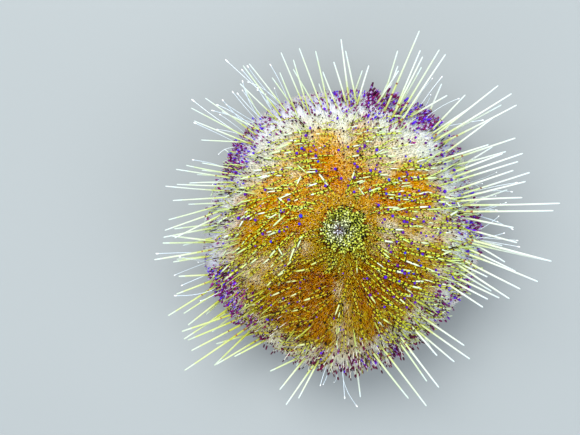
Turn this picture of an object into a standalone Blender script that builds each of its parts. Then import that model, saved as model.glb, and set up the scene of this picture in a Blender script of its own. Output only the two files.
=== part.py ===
"""A life-size sea urchin of the soft-bodied, flat-domed kind, resting on the tips of its underside spines.

Metres, +Z up, the floor at z = 0. The origin is the middle of the footprint box on the floor.
The solid's outer surface is the level that the short coat of spines reaches, so the bare body is thinner.
Ambulacra are the five narrow rays of tube feet, interambulacra the five broad rays between them.
"""

import math
import random

import bmesh
import bpy
from mathutils import Matrix, Vector

# ---------------------------------------------------------------- sizes
COAT_RADIUS = 0.0855  # to the tips of the short spines at the widest level
WIDEST_Z = 0.0380  # height of the widest level
DOME_RISE = 0.0430  # from the widest level up to the top
UNDER_DROP = 0.0262  # from the widest level down to the underside
SIDE_POWER = 0.88  # below 1 makes the side fuller
UNDER_POWER = 0.60  # below 1 makes the underside flatter
MOUTH_HOLLOW = 0.0022  # how far the skin round the mouth is drawn in
RAY_SWELL = 0.022  # swelling of the five narrow rays
OVAL_SWELL = 0.020  # slight oval of the outline
OVAL_AZIMUTH = 55.0
SHORT_SIDE = 0.042  # how much the coat falls short towards one side, twice this straight towards it
SHORT_AZIMUTH = 30.0
FIRST_RAY = 270.0  # azimuth of the first narrow ray
RAY_HALF_ANGLE = 15.0  # half the width of a narrow ray
SEAM_Z = 0.0340  # level of the seam between upper and lower plates
SEAM = 0.0003  # gap between neighbouring solids
DISC_RADIUS = 0.0125  # the plate-covered disc at the top
MOUTH_RADIUS = 0.0150  # the soft skin round the mouth
AXIS_X, AXIS_Y = -0.0049, -0.0034  # the body's axis in the footprint box

SPINE_ROOT_RADIUS = 0.00080
SPINE_TIP_RADIUS = 0.00050
FOOT_RADIUS = 0.00125  # flared hoof at the end of a walking spine
TUFT_ROOT_RADIUS = 0.00085
TUFT_TIP_RADIUS = 0.00050
CLEARANCE = 0.0021  # least distance between the axes of two spines

# The sprays of long side spines, by the longest of each: azimuth of its root, azimuth of its tip,
# how far out its tip is in mm, and how many shorter ones stand round it
SPRAYS = (
    (11, 7, 124, 3), (356, 352, 120, 2), (348, 345, 115, 4), (16, 17, 111, 3), (25, 23, 111, 2),
    (33, 28, 111, 2), (44, 39, 123, 3), (46, 43, 120, 2), (64, 62, 116, 3), (71, 69, 121, 4),
    (88, 91, 109, 4), (101, 104, 107, 2), (109, 110, 108, 2), (120, 122, 111, 3), (137, 142, 113, 4),
    (157, 161, 104, 3), (163, 167, 107, 3), (173, 181, 105, 3), (182, 184, 107, 2), (190, 190, 115, 3),
    (205, 207, 120, 4), (213, 214, 119, 2), (221, 216, 118, 1), (226, 222, 131, 2), (233, 227, 115, 2),
    (256, 251, 112, 3), (287, 295, 113, 1), (297, 301, 107, 1), (308, 314, 105, 3), (336, 336, 98, 4),
)
SPRAY_STEP = 2.8  # degrees between neighbouring roots of a spray
SPRAY_FAN = 3.6  # degrees between their tips
HIGH_POLAR, LOW_POLAR = 61.0, 83.0  # where the sprays leave the coat: high nearly all round
LOW_AZIMUTH, LOW_HALF = 225.0, 38.0  # and low round this azimuth
# Short ones below the widest level: polar angle, how many, reach past the coat
LOW_ROWS = ((97.0, 12, 0.0180), (108.0, 9, 0.0120))
# Rim tufts of thick beaded spines: azimuth, how many, greatest length in mm
RIM_TUFTS = (
    (3.0, 5, 9.0), (56.0, 5, 10.0), (67.0, 3, 9.0), (79.5, 6, 15.0), (133.0, 3, 9.0), (149.0, 4, 9.0),
    (176.0, 2, 8.0), (201.0, 5, 9.0), (213.0, 4, 9.0), (236.0, 3, 9.0), (262.0, 3, 9.0),
    (276.0, 3, 9.0), (292.0, 4, 9.0), (318.0, 3, 9.0), (334.0, 4, 9.0),
)
# Walking spines of the underside: distance from the axis and how many
WALKING_RINGS = ((0.0255, 10), (0.0405, 15), (0.0560, 20))


# ---------------------------------------------------------------- the body's surface
def swell(azimuth):
    rays = RAY_SWELL * math.cos(5 * math.radians(azimuth - FIRST_RAY))
    oval = OVAL_SWELL * math.cos(2 * math.radians(azimuth - OVAL_AZIMUTH))
    return rays + oval - SHORT_SIDE * (1 + math.cos(math.radians(azimuth - SHORT_AZIMUTH)))


def surface(polar, azimuth):
    """A point of the coat's surface, from the body's axis. polar is 0 at the top and 180 under the mouth."""
    s, c = math.sin(math.radians(polar)), math.cos(math.radians(polar))
    s = max(s, 0.0)
    r = COAT_RADIUS * s**SIDE_POWER * (1 + s * s * swell(azimuth))
    if c >= 0:
        z = WIDEST_Z + DOME_RISE * c
    else:
        z = WIDEST_Z - UNDER_DROP * (-c) ** UNDER_POWER
        near = max(0.0, min(1.0, (0.030 - r) / 0.020))
        z += MOUTH_HOLLOW * near * near * (3 - 2 * near)
    a = math.radians(azimuth)
    return Vector((r * math.cos(a), r * math.sin(a), z))


def normal(polar, azimuth):
    along = surface(polar + 0.5, azimuth) - surface(polar - 0.5, azimuth)
    around = surface(polar, azimuth + 0.5) - surface(polar, azimuth - 0.5)
    return along.cross(around).normalized()


def ray_of(azimuth):
    """(is it a narrow ray, its number 1 to 5, how far round from the nearest seam)."""
    turn = (azimuth - FIRST_RAY + RAY_HALF_ANGLE) % 360.0
    number, within = int(turn // 72.0), turn % 72.0
    if within < 2 * RAY_HALF_ANGLE:
        return True, number + 1, min(within, 2 * RAY_HALF_ANGLE - within)
    within -= 2 * RAY_HALF_ANGLE
    return False, number + 1, min(within, 72.0 - 2 * RAY_HALF_ANGLE - within)


def off_seam(azimuth, margin):
    """The nearest azimuth that is at least margin from a seam."""
    for step in range(40):
        for way in (1, -1):
            tried = azimuth + way * step * 0.25
            if ray_of(tried)[2] >= margin:
                return tried
    return azimuth


def apart(a, b):
    """The least distance between two segments, found at a few points along each."""
    least = 1.0
    for i in range(9):
        p = a["from"].lerp(a["to"], i / 8)
        d = b["to"] - b["from"]
        t = max(0.0, min(1.0, (p - b["from"]).dot(d) / d.length_squared))
        least = min(least, (p - b["from"] - d * t).length)
    return least


def clear(new, others, least=CLEARANCE):
    return all(apart(new, o) >= least and apart(o, new) >= least for o in others)


def direction(azimuth, rise):
    a, e = math.radians(azimuth), math.radians(rise)
    return Vector((math.cos(a) * math.cos(e), math.sin(a) * math.cos(e), math.sin(e)))


# ---------------------------------------------------------------- where the spines stand
def coat_radius(z, azimuth):
    """How far the coat's surface is from the axis at a level above the widest one."""
    c = max(0.0, min(1.0, (z - WIDEST_Z) / DOME_RISE))
    s = math.sqrt(1 - c * c)
    return COAT_RADIUS * s**SIDE_POWER * (1 + s * s * swell(azimuth))


def over_coat(spine):
    """Whether it passes well clear of the coat where it has left its own plate."""
    own = ray_of(spine["azimuth"])[:2]
    for i in range(1, 13):
        p = spine["from"].lerp(spine["to"], i / 12)
        azimuth = math.degrees(math.atan2(p.y, p.x))
        gap = math.hypot(p.x, p.y) - coat_radius(p.z, azimuth)
        if ray_of(azimuth)[:2] != own and p.z > WIDEST_Z and gap < 0.0020:
            return False
    return True


def side_spine(polar, azimuth, tip_azimuth, reach, rise):
    """One long spine: its root on the coat's surface, its tip over a place that far from the axis."""
    root = surface(polar, azimuth)
    out = direction(tip_azimuth, 0.0) * reach - Vector((root.x, root.y, 0.0))
    tip = root + out + Vector((0.0, 0.0, out.length * math.tan(math.radians(rise))))
    return {"from": root, "to": tip, "way": (tip - root).normalized(), "azimuth": azimuth}


def long_spines(taken):
    """The longest of each spray, then the shorter ones round it, then short ones below the widest level."""
    rng = random.Random(41)
    made = []

    def add(polar, azimuth, tip_azimuth, reach):
        """Moved a little until it stands clear of the others, the coat and the seams."""
        for attempt in range(80):
            az = off_seam(azimuth + rng.uniform(-1, 1) * 0.05 * attempt, 2.1)
            at = polar + rng.uniform(-0.5, 0.5) * (3.0 + 0.15 * attempt)
            rise = 0.6 * (90.0 - at) - 1.0 + rng.uniform(-0.5, 0.5) * (4.0 + 0.3 * attempt)
            new = side_spine(at, az, tip_azimuth + (az - azimuth) * 0.5, reach, rise)
            on_seam = abs(new["from"].z - SEAM_Z) < 0.0024
            if not on_seam and new["to"].z > 0.004 and over_coat(new) and clear(new, taken + made):
                made.append(new)
                return

    def root_polar(azimuth):
        off = (azimuth - LOW_AZIMUTH + 180.0) % 360.0 - 180.0
        return HIGH_POLAR + (LOW_POLAR - HIGH_POLAR) * math.exp(-((off / LOW_HALF) ** 4))

    for azimuth, tip_azimuth, reach, _ in SPRAYS:
        add(root_polar(azimuth), azimuth, tip_azimuth, reach / 1000)
    for azimuth, tip_azimuth, reach, shorter in SPRAYS:
        edge = surface(90.0, azimuth).xy.length
        for i in range(shorter):
            side = (i // 2 + 1) * (1 if i % 2 else -1)
            past = (reach / 1000 - edge) * (0.85 - 0.5 * i / shorter) * rng.uniform(0.8, 1.15)
            root = azimuth + side * SPRAY_STEP * rng.uniform(0.6, 1.2)
            tip = tip_azimuth + side * SPRAY_FAN * rng.uniform(0.2, 1.4)
            add(root_polar(root) + rng.uniform(-5.0, 5.0), root, tip, edge + max(0.004, past))
    for row, (polar, count, past) in enumerate(LOW_ROWS):
        for i in range(count):
            # fewer of them towards azimuth 270
            turn = 360.0 * (i + 0.5 * row + rng.uniform(-0.28, 0.28)) / count
            azimuth = turn + 22.0 * math.cos(math.radians(turn))
            reach = surface(polar, azimuth).xy.length + past * rng.uniform(0.7, 1.15)
            add(polar, azimuth, azimuth + rng.uniform(-3.0, 3.0), reach)
    return made


def walking_spines():
    """Short spines of the underside. Each ends in a small flat hoof on the floor."""
    rng = random.Random(7)
    made = []
    for ring, (radius, count) in enumerate(WALKING_RINGS):
        for i in range(count):
            azimuth = off_seam(
                360.0 * (i + 0.37 * ring + rng.uniform(-0.16, 0.16)) / count,
                math.degrees(0.0024 / radius),
            )
            reach = radius + rng.uniform(-0.0016, 0.0016)
            a = math.radians(azimuth)
            low, high = 90.0, 178.0  # the polar angle whose surface is that far out
            for _ in range(40):
                middle = (low + high) / 2
                p = surface(middle, azimuth)
                if math.hypot(p.x, p.y) > reach:
                    low = middle
                else:
                    high = middle
            root = surface(low, azimuth)
            out = 0.0022 + 0.0042 * ring / 2 + rng.uniform(-0.0008, 0.0008)
            turn = a + rng.uniform(-0.06, 0.06)
            foot = Vector((root.x + out * math.cos(turn), root.y + out * math.sin(turn), 0.0))
            new = {"from": root, "to": foot, "way": (foot - root).normalized(), "azimuth": azimuth}
            if clear(new, made, 0.0034):
                made.append(new)
    return made


def tuft_spines(taken):
    """Thick beaded spines in tufts round the rim."""
    rng = random.Random(19)
    made = []
    for azimuth, count, longest in RIM_TUFTS:
        for i in range(count):
            for _ in range(40):
                az = off_seam(azimuth + rng.uniform(-4.6, 4.6), 1.5)
                polar = rng.uniform(72.0, 87.0)
                root = surface(polar, az)
                way = direction(az + rng.uniform(-9, 9), (90 - polar) * 0.8 + rng.uniform(-8, 8))
                length = longest * rng.uniform(0.0005, 0.0010)
                new = {"from": root, "to": root + way * length, "way": way, "azimuth": az}
                if abs(root.z - SEAM_Z) > 0.0026 and clear(new, taken + made, 0.0019):
                    made.append(new)
                    break
    return made


# ---------------------------------------------------------------- making solids
def clear_scene():
    for obj in list(bpy.data.objects):
        bpy.data.objects.remove(obj)


def material(name, colour, roughness):
    mat = bpy.data.materials.new(name)
    mat.use_nodes = True
    bsdf = mat.node_tree.nodes["Principled BSDF"]
    bsdf.inputs["Base Color"].default_value = (*colour, 1.0)
    bsdf.inputs["Roughness"].default_value = roughness
    bsdf.inputs["Metallic"].default_value = 0.0
    return mat


def body_mesh():
    """A UV sphere drawn out to the body's surface, with its meridians midway between the seams."""
    bm = bmesh.new()
    bmesh.ops.create_uvsphere(bm, u_segments=60, v_segments=20, radius=1.0)
    for v in bm.verts:
        polar = math.degrees(math.acos(max(-1.0, min(1.0, v.co.z))))
        azimuth = math.degrees(math.atan2(v.co.y, v.co.x))
        v.co = surface(polar, azimuth) + Vector((AXIS_X, AXIS_Y, 0.0))
    mesh = bpy.data.meshes.new("body")
    bm.to_mesh(mesh)
    bm.free()
    return mesh


def hidden(name, mesh, collection):
    obj = bpy.data.objects.new(name, mesh)
    obj.hide_render = True
    obj.display_type = "WIRE"
    collection.objects.link(obj)
    return obj


def wedge(name, start, end, low, high, collection):
    """A three-sided prism between two azimuths, drawn in by half a seam on both sides."""
    middle = math.radians((start + end) / 2)
    half = math.radians((end - start) / 2)
    bm = bmesh.new()
    bmesh.ops.create_cone(
        bm, cap_ends=True, segments=3, radius1=1.0, radius2=1.0, depth=high - low
    )
    inner = SEAM / 2 / math.sin(half)
    far = 0.30
    corners = (
        Vector((inner, 0.0)),
        Vector((inner + far, -far * math.tan(half))),
        Vector((inner + far, far * math.tan(half))),
    )
    turned = sorted(
        {round(math.degrees(math.atan2(v.co.y, v.co.x)) % 360, 1) for v in bm.verts}
    )
    for v in bm.verts:
        at = round(math.degrees(math.atan2(v.co.y, v.co.x)) % 360, 1)
        x, y = corners[turned.index(at)]
        v.co.x = AXIS_X + x * math.cos(middle) - y * math.sin(middle)
        v.co.y = AXIS_Y + x * math.sin(middle) + y * math.cos(middle)
        v.co.z += (low + high) / 2
    bm.normal_update()
    mesh = bpy.data.meshes.new(name)
    bm.to_mesh(mesh)
    bm.free()
    return hidden(name, mesh, collection)


def drum(name, radius, low, high, collection):
    bm = bmesh.new()
    bmesh.ops.create_cone(
        bm, cap_ends=True, segments=30, radius1=radius, radius2=radius, depth=high - low
    )
    bmesh.ops.translate(bm, verts=bm.verts, vec=(AXIS_X, AXIS_Y, (low + high) / 2))
    mesh = bpy.data.meshes.new(name)
    bm.to_mesh(mesh)
    bm.free()
    return hidden(name, mesh, collection)


def add_cone(bm, start, end, radius1, radius2, sides, buried):
    """A tapered shaft from a little under the surface to its tip."""
    way = (end - start).normalized()
    start = start - way * buried
    turn = way.to_track_quat("Z", "Y").to_matrix().to_4x4()
    place = Matrix.Translation((start + end) / 2 + Vector((AXIS_X, AXIS_Y, 0.0))) @ turn
    return bmesh.ops.create_cone(
        bm,
        cap_ends=True,
        segments=sides,
        radius1=radius1,
        radius2=radius2,
        depth=(end - start).length,
        matrix=place,
    )["verts"]


def add_walker(bm, spine):
    """A shaft, then a flared hoof whose end is cut level on the floor."""
    root, foot, way = spine["from"], spine["to"], spine["way"]
    neck = foot - way * 0.0034
    verts = add_cone(bm, root, neck, 0.00095, 0.00070, 6, 0.0024)
    top = max(verts, key=lambda v: (v.co - (neck + Vector((AXIS_X, AXIS_Y, 0)))).length)
    end = neck + Vector((AXIS_X, AXIS_Y, 0.0))
    cap = [f for f in {f for v in verts for f in v.link_faces} if len(f.verts) == 6]
    cap = min(cap, key=lambda f: (f.calc_center_median() - end).length)
    for radius, at in ((FOOT_RADIUS, foot),):
        grown = bmesh.ops.extrude_discrete_faces(bm, faces=[cap])["faces"][0]
        middle = grown.calc_center_median()
        target = at + Vector((AXIS_X, AXIS_Y, 0.0))
        scale = radius / (grown.verts[0].co - middle).length
        for v in grown.verts:
            v.co = target + (v.co - middle) * scale
            v.co -= way * (v.co.z / way.z)  # slid along the shaft to the floor
            v.co.z = 0.0
    return top


def spines_object(name, long_ones, tufts, walkers, collection):
    bm = bmesh.new()
    for s in long_ones:
        add_cone(bm, s["from"], s["to"], SPINE_ROOT_RADIUS, SPINE_TIP_RADIUS, 5, 0.0026)
    for s in tufts:
        add_cone(bm, s["from"], s["to"], TUFT_ROOT_RADIUS, TUFT_TIP_RADIUS, 4, 0.0024)
    for s in walkers:
        add_walker(bm, s)
    bm.normal_update()
    mesh = bpy.data.meshes.new(name)
    bm.to_mesh(mesh)
    bm.free()
    return hidden(name, mesh, collection)


def boolean(obj, operation, other):
    mod = obj.modifiers.new(operation.lower(), "BOOLEAN")
    mod.operation = operation
    mod.object = other
    mod.solver = "EXACT"


def node(name, mesh, mat, collection):
    obj = bpy.data.objects.new(name, mesh.copy())
    obj.data.materials.append(mat)
    collection.objects.link(obj)
    return obj


def teeth(mat, collection):
    """Five tooth tips that meet in a point, as they show in the closed mouth."""
    bm = bmesh.new()
    bmesh.ops.create_cone(
        bm, cap_ends=True, segments=10, radius1=0.0030, radius2=0.0008, depth=0.0042
    )
    for v in bm.verts:
        a = math.degrees(math.atan2(v.co.y, v.co.x))
        if v.co.z < 0 and round((a + 18) / 36) % 2:
            v.co.x *= 0.72
            v.co.y *= 0.72
    low = surface(180.0, 0.0).z - SEAM
    bmesh.ops.rotate(bm, verts=bm.verts, cent=(0, 0, 0), matrix=Matrix.Rotation(math.pi, 3, "X"))
    bmesh.ops.translate(bm, verts=bm.verts, vec=(AXIS_X, AXIS_Y, low - 0.0021))
    bmesh.ops.recalc_face_normals(bm, faces=bm.faces)
    mesh = bpy.data.meshes.new("mouth_teeth")
    bm.to_mesh(mesh)
    bm.free()
    node("mouth_teeth", mesh, mat, collection)


def main():
    clear_scene()
    urchin = bpy.data.collections.new("sea_urchin")
    helpers = bpy.data.collections.new("cutters")
    bpy.context.scene.collection.children.link(urchin)
    bpy.context.scene.collection.children.link(helpers)
    orange = material("orange_coat", (0.62, 0.27, 0.03), 0.7)
    cream = material("cream_coat", (0.72, 0.52, 0.30), 0.7)
    olive = material("disc", (0.42, 0.34, 0.05), 0.7)
    tan = material("mouth_skin", (0.50, 0.34, 0.20), 0.6)
    white = material("tooth", (0.85, 0.83, 0.76), 0.35)

    walkers = walking_spines()
    long_ones = long_spines(walkers)
    tufts = tuft_spines(walkers + long_ones)

    body = body_mesh()
    top, bottom = 0.15, -0.05
    upper_plug = drum("upper_plug", DISC_RADIUS, SEAM_Z + SEAM / 2, top, helpers)
    lower_plug = drum("lower_plug", MOUTH_RADIUS, bottom, SEAM_Z - SEAM / 2, helpers)
    upper_hole = drum("upper_hole", DISC_RADIUS + SEAM, SEAM_Z - 0.002, top, helpers)
    lower_hole = drum("lower_hole", MOUTH_RADIUS + SEAM, bottom, SEAM_Z + 0.002, helpers)

    disc = node("apical_disc", body, olive, urchin)
    boolean(disc, "INTERSECT", upper_plug)
    mouth = node("peristome", body, tan, urchin)
    boolean(mouth, "INTERSECT", lower_plug)
    teeth(white, urchin)

    for number in range(1, 6):
        centre = FIRST_RAY + 72.0 * (number - 1)
        for narrow in (True, False):
            start = centre - RAY_HALF_ANGLE if narrow else centre + RAY_HALF_ANGLE
            end = centre + RAY_HALF_ANGLE if narrow else centre + 72.0 - RAY_HALF_ANGLE
            kind = "ambulacrum" if narrow else "interambulacrum"
            mine = [
                [s for s in group if ray_of(s["azimuth"])[:2] == (narrow, number)]
                for group in (long_ones, tufts, walkers)
            ]
            for level in ("upper", "lower"):
                name = f"{kind}_{number}_{level}"
                up = level == "upper"
                low, high = (SEAM_Z + SEAM / 2, top) if up else (bottom, SEAM_Z - SEAM / 2)
                piece = node(name, body, cream if narrow else orange, urchin)
                boolean(piece, "INTERSECT", wedge("cut_" + name, start, end, low, high, helpers))
                boolean(piece, "DIFFERENCE", upper_hole if up else lower_hole)
                here = [
                    [s for s in group if (s["from"].z > SEAM_Z) == up] for group in mine
                ]
                if any(here):
                    boolean(piece, "UNION", spines_object("spines_" + name, *here, helpers))


main()
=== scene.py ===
"""The looks of a life-size fire urchin: its skin, its coat of fine spines, the long spines, the disc and the mouth."""

import math
import random

import bpy
import numpy as np
from mathutils import Matrix, Vector


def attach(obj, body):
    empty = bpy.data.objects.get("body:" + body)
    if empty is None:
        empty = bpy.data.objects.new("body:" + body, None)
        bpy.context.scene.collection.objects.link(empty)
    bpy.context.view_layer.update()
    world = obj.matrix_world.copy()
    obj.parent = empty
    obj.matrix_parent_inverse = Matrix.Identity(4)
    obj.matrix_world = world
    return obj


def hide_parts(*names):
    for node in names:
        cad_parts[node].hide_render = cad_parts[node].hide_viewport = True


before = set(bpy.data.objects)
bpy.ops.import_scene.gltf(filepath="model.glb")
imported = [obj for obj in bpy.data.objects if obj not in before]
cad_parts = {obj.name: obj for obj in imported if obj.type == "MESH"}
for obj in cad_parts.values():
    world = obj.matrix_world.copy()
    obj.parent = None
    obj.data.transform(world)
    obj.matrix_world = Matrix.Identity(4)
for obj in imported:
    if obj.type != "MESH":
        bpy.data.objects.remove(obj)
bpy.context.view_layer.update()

# ---------------------------------------------------------------- sizes, the same as the solids'
COAT_RADIUS = 0.0855
WIDEST_Z = 0.0380
DOME_RISE = 0.0430
UNDER_DROP = 0.0262
SIDE_POWER = 0.88
UNDER_POWER = 0.60
MOUTH_HOLLOW = 0.0022
RAY_SWELL = 0.022
OVAL_SWELL = 0.020
OVAL_AZIMUTH = 55.0
SHORT_SIDE = 0.042
SHORT_AZIMUTH = 30.0
FIRST_RAY = 270.0
RAY_HALF_ANGLE = 15.0
SEAM_Z = 0.0340
SEAM = 0.0003
AXIS_X, AXIS_Y = -0.0049, -0.0034
AXIS = np.array([AXIS_X, AXIS_Y, 0.0])
SPINE_ROOT_RADIUS = 0.00080
SPINE_TIP_RADIUS = 0.00050
FOOT_RADIUS = 0.00125
TUFT_ROOT_RADIUS = 0.00085
TUFT_TIP_RADIUS = 0.00050
CLEARANCE = 0.0021
SPRAYS = (
    (11, 7, 124, 3), (356, 352, 120, 2), (348, 345, 115, 4), (16, 17, 111, 3), (25, 23, 111, 2),
    (33, 28, 111, 2), (44, 39, 123, 3), (46, 43, 120, 2), (64, 62, 116, 3), (71, 69, 121, 4),
    (88, 91, 109, 4), (101, 104, 107, 2), (109, 110, 108, 2), (120, 122, 111, 3), (137, 142, 113, 4),
    (157, 161, 104, 3), (163, 167, 107, 3), (173, 181, 105, 3), (182, 184, 107, 2), (190, 190, 115, 3),
    (205, 207, 120, 4), (213, 214, 119, 2), (221, 216, 118, 1), (226, 222, 131, 2), (233, 227, 115, 2),
    (256, 251, 112, 3), (287, 295, 113, 1), (297, 301, 107, 1), (308, 314, 105, 3), (336, 336, 98, 4),
)
SPRAY_STEP = 2.8
SPRAY_FAN = 3.6
HIGH_POLAR, LOW_POLAR = 61.0, 83.0
LOW_AZIMUTH, LOW_HALF = 225.0, 38.0
LOW_ROWS = ((97.0, 12, 0.0180), (108.0, 9, 0.0120))
RIM_TUFTS = (
    (3.0, 5, 9.0), (56.0, 5, 10.0), (67.0, 3, 9.0), (79.5, 6, 15.0), (133.0, 3, 9.0), (149.0, 4, 9.0),
    (176.0, 2, 8.0), (201.0, 5, 9.0), (213.0, 4, 9.0), (236.0, 3, 9.0), (262.0, 3, 9.0),
    (276.0, 3, 9.0), (292.0, 4, 9.0), (318.0, 3, 9.0), (334.0, 4, 9.0),
)
WALKING_RINGS = ((0.0255, 10), (0.0405, 15), (0.0560, 20))


# ---------------------------------------------------------------- the body's surface, point by point
def swell(azimuth):
    rays = RAY_SWELL * math.cos(5 * math.radians(azimuth - FIRST_RAY))
    oval = OVAL_SWELL * math.cos(2 * math.radians(azimuth - OVAL_AZIMUTH))
    return rays + oval - SHORT_SIDE * (1 + math.cos(math.radians(azimuth - SHORT_AZIMUTH)))


def surface(polar, azimuth):
    s, c = math.sin(math.radians(polar)), math.cos(math.radians(polar))
    s = max(s, 0.0)
    r = COAT_RADIUS * s**SIDE_POWER * (1 + s * s * swell(azimuth))
    if c >= 0:
        z = WIDEST_Z + DOME_RISE * c
    else:
        z = WIDEST_Z - UNDER_DROP * (-c) ** UNDER_POWER
        near = max(0.0, min(1.0, (0.030 - r) / 0.020))
        z += MOUTH_HOLLOW * near * near * (3 - 2 * near)
    a = math.radians(azimuth)
    return Vector((r * math.cos(a), r * math.sin(a), z))


def ray_of(azimuth):
    turn = (azimuth - FIRST_RAY + RAY_HALF_ANGLE) % 360.0
    number, within = int(turn // 72.0), turn % 72.0
    if within < 2 * RAY_HALF_ANGLE:
        return True, number + 1, min(within, 2 * RAY_HALF_ANGLE - within)
    within -= 2 * RAY_HALF_ANGLE
    return False, number + 1, min(within, 72.0 - 2 * RAY_HALF_ANGLE - within)


def off_seam(azimuth, margin):
    for step in range(40):
        for way in (1, -1):
            tried = azimuth + way * step * 0.25
            if ray_of(tried)[2] >= margin:
                return tried
    return azimuth


def apart(a, b):
    least = 1.0
    for i in range(9):
        p = a["from"].lerp(a["to"], i / 8)
        d = b["to"] - b["from"]
        t = max(0.0, min(1.0, (p - b["from"]).dot(d) / d.length_squared))
        least = min(least, (p - b["from"] - d * t).length)
    return least


def clear(new, others, least=CLEARANCE):
    return all(apart(new, o) >= least and apart(o, new) >= least for o in others)


def direction(azimuth, rise):
    a, e = math.radians(azimuth), math.radians(rise)
    return Vector((math.cos(a) * math.cos(e), math.sin(a) * math.cos(e), math.sin(e)))


# ---------------------------------------------------------------- where the solids' spines stand
def coat_radius(z, azimuth):
    c = max(0.0, min(1.0, (z - WIDEST_Z) / DOME_RISE))
    s = math.sqrt(1 - c * c)
    return COAT_RADIUS * s**SIDE_POWER * (1 + s * s * swell(azimuth))


def over_coat(spine):
    own = ray_of(spine["azimuth"])[:2]
    for i in range(1, 13):
        p = spine["from"].lerp(spine["to"], i / 12)
        azimuth = math.degrees(math.atan2(p.y, p.x))
        gap = math.hypot(p.x, p.y) - coat_radius(p.z, azimuth)
        if ray_of(azimuth)[:2] != own and p.z > WIDEST_Z and gap < 0.0020:
            return False
    return True


def side_spine(polar, azimuth, tip_azimuth, reach, rise):
    root = surface(polar, azimuth)
    out = direction(tip_azimuth, 0.0) * reach - Vector((root.x, root.y, 0.0))
    tip = root + out + Vector((0.0, 0.0, out.length * math.tan(math.radians(rise))))
    return {"from": root, "to": tip, "way": (tip - root).normalized(), "azimuth": azimuth}


def long_spines(taken):
    rng = random.Random(41)
    made = []

    def add(polar, azimuth, tip_azimuth, reach):
        for attempt in range(80):
            az = off_seam(azimuth + rng.uniform(-1, 1) * 0.05 * attempt, 2.1)
            at = polar + rng.uniform(-0.5, 0.5) * (3.0 + 0.15 * attempt)
            rise = 0.6 * (90.0 - at) - 1.0 + rng.uniform(-0.5, 0.5) * (4.0 + 0.3 * attempt)
            new = side_spine(at, az, tip_azimuth + (az - azimuth) * 0.5, reach, rise)
            on_seam = abs(new["from"].z - SEAM_Z) < 0.0024
            if not on_seam and new["to"].z > 0.004 and over_coat(new) and clear(new, taken + made):
                made.append(new)
                return

    def root_polar(azimuth):
        off = (azimuth - LOW_AZIMUTH + 180.0) % 360.0 - 180.0
        return HIGH_POLAR + (LOW_POLAR - HIGH_POLAR) * math.exp(-((off / LOW_HALF) ** 4))

    for azimuth, tip_azimuth, reach, _ in SPRAYS:
        add(root_polar(azimuth), azimuth, tip_azimuth, reach / 1000)
    for azimuth, tip_azimuth, reach, shorter in SPRAYS:
        edge = surface(90.0, azimuth).xy.length
        for i in range(shorter):
            side = (i // 2 + 1) * (1 if i % 2 else -1)
            past = (reach / 1000 - edge) * (0.85 - 0.5 * i / shorter) * rng.uniform(0.8, 1.15)
            root = azimuth + side * SPRAY_STEP * rng.uniform(0.6, 1.2)
            tip = tip_azimuth + side * SPRAY_FAN * rng.uniform(0.2, 1.4)
            add(root_polar(root) + rng.uniform(-5.0, 5.0), root, tip, edge + max(0.004, past))
    for row, (polar, count, past) in enumerate(LOW_ROWS):
        for i in range(count):
            turn = 360.0 * (i + 0.5 * row + rng.uniform(-0.28, 0.28)) / count
            azimuth = turn + 22.0 * math.cos(math.radians(turn))
            reach = surface(polar, azimuth).xy.length + past * rng.uniform(0.7, 1.15)
            add(polar, azimuth, azimuth + rng.uniform(-3.0, 3.0), reach)
    return made


def walking_spines():
    rng = random.Random(7)
    made = []
    for ring, (radius, count) in enumerate(WALKING_RINGS):
        for i in range(count):
            azimuth = off_seam(
                360.0 * (i + 0.37 * ring + rng.uniform(-0.16, 0.16)) / count,
                math.degrees(0.0024 / radius),
            )
            reach = radius + rng.uniform(-0.0016, 0.0016)
            a = math.radians(azimuth)
            low, high = 90.0, 178.0
            for _ in range(40):
                middle = (low + high) / 2
                p = surface(middle, azimuth)
                if math.hypot(p.x, p.y) > reach:
                    low = middle
                else:
                    high = middle
            root = surface(low, azimuth)
            out = 0.0022 + 0.0042 * ring / 2 + rng.uniform(-0.0008, 0.0008)
            turn = a + rng.uniform(-0.06, 0.06)
            foot = Vector((root.x + out * math.cos(turn), root.y + out * math.sin(turn), 0.0))
            new = {"from": root, "to": foot, "way": (foot - root).normalized(), "azimuth": azimuth}
            if clear(new, made, 0.0034):
                made.append(new)
    return made


def tuft_spines(taken):
    rng = random.Random(19)
    made = []
    for azimuth, count, longest in RIM_TUFTS:
        for i in range(count):
            for _ in range(40):
                az = off_seam(azimuth + rng.uniform(-4.6, 4.6), 1.5)
                polar = rng.uniform(72.0, 87.0)
                root = surface(polar, az)
                way = direction(az + rng.uniform(-9, 9), (90 - polar) * 0.8 + rng.uniform(-8, 8))
                length = longest * rng.uniform(0.0005, 0.0010)
                new = {"from": root, "to": root + way * length, "way": way, "azimuth": az}
                if abs(root.z - SEAM_Z) > 0.0026 and clear(new, taken + made, 0.0019):
                    made.append(new)
                    break
    return made


# ---------------------------------------------------------------- the same surface, for many points at once
def unit(v):
    return v / np.maximum(np.linalg.norm(v, axis=-1, keepdims=True), 1e-12)


def swells(a):
    rays = RAY_SWELL * np.cos(5 * np.radians(a - FIRST_RAY))
    oval = OVAL_SWELL * np.cos(2 * np.radians(a - OVAL_AZIMUTH))
    return rays + oval - SHORT_SIDE * (1 + np.cos(np.radians(a - SHORT_AZIMUTH)))


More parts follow.
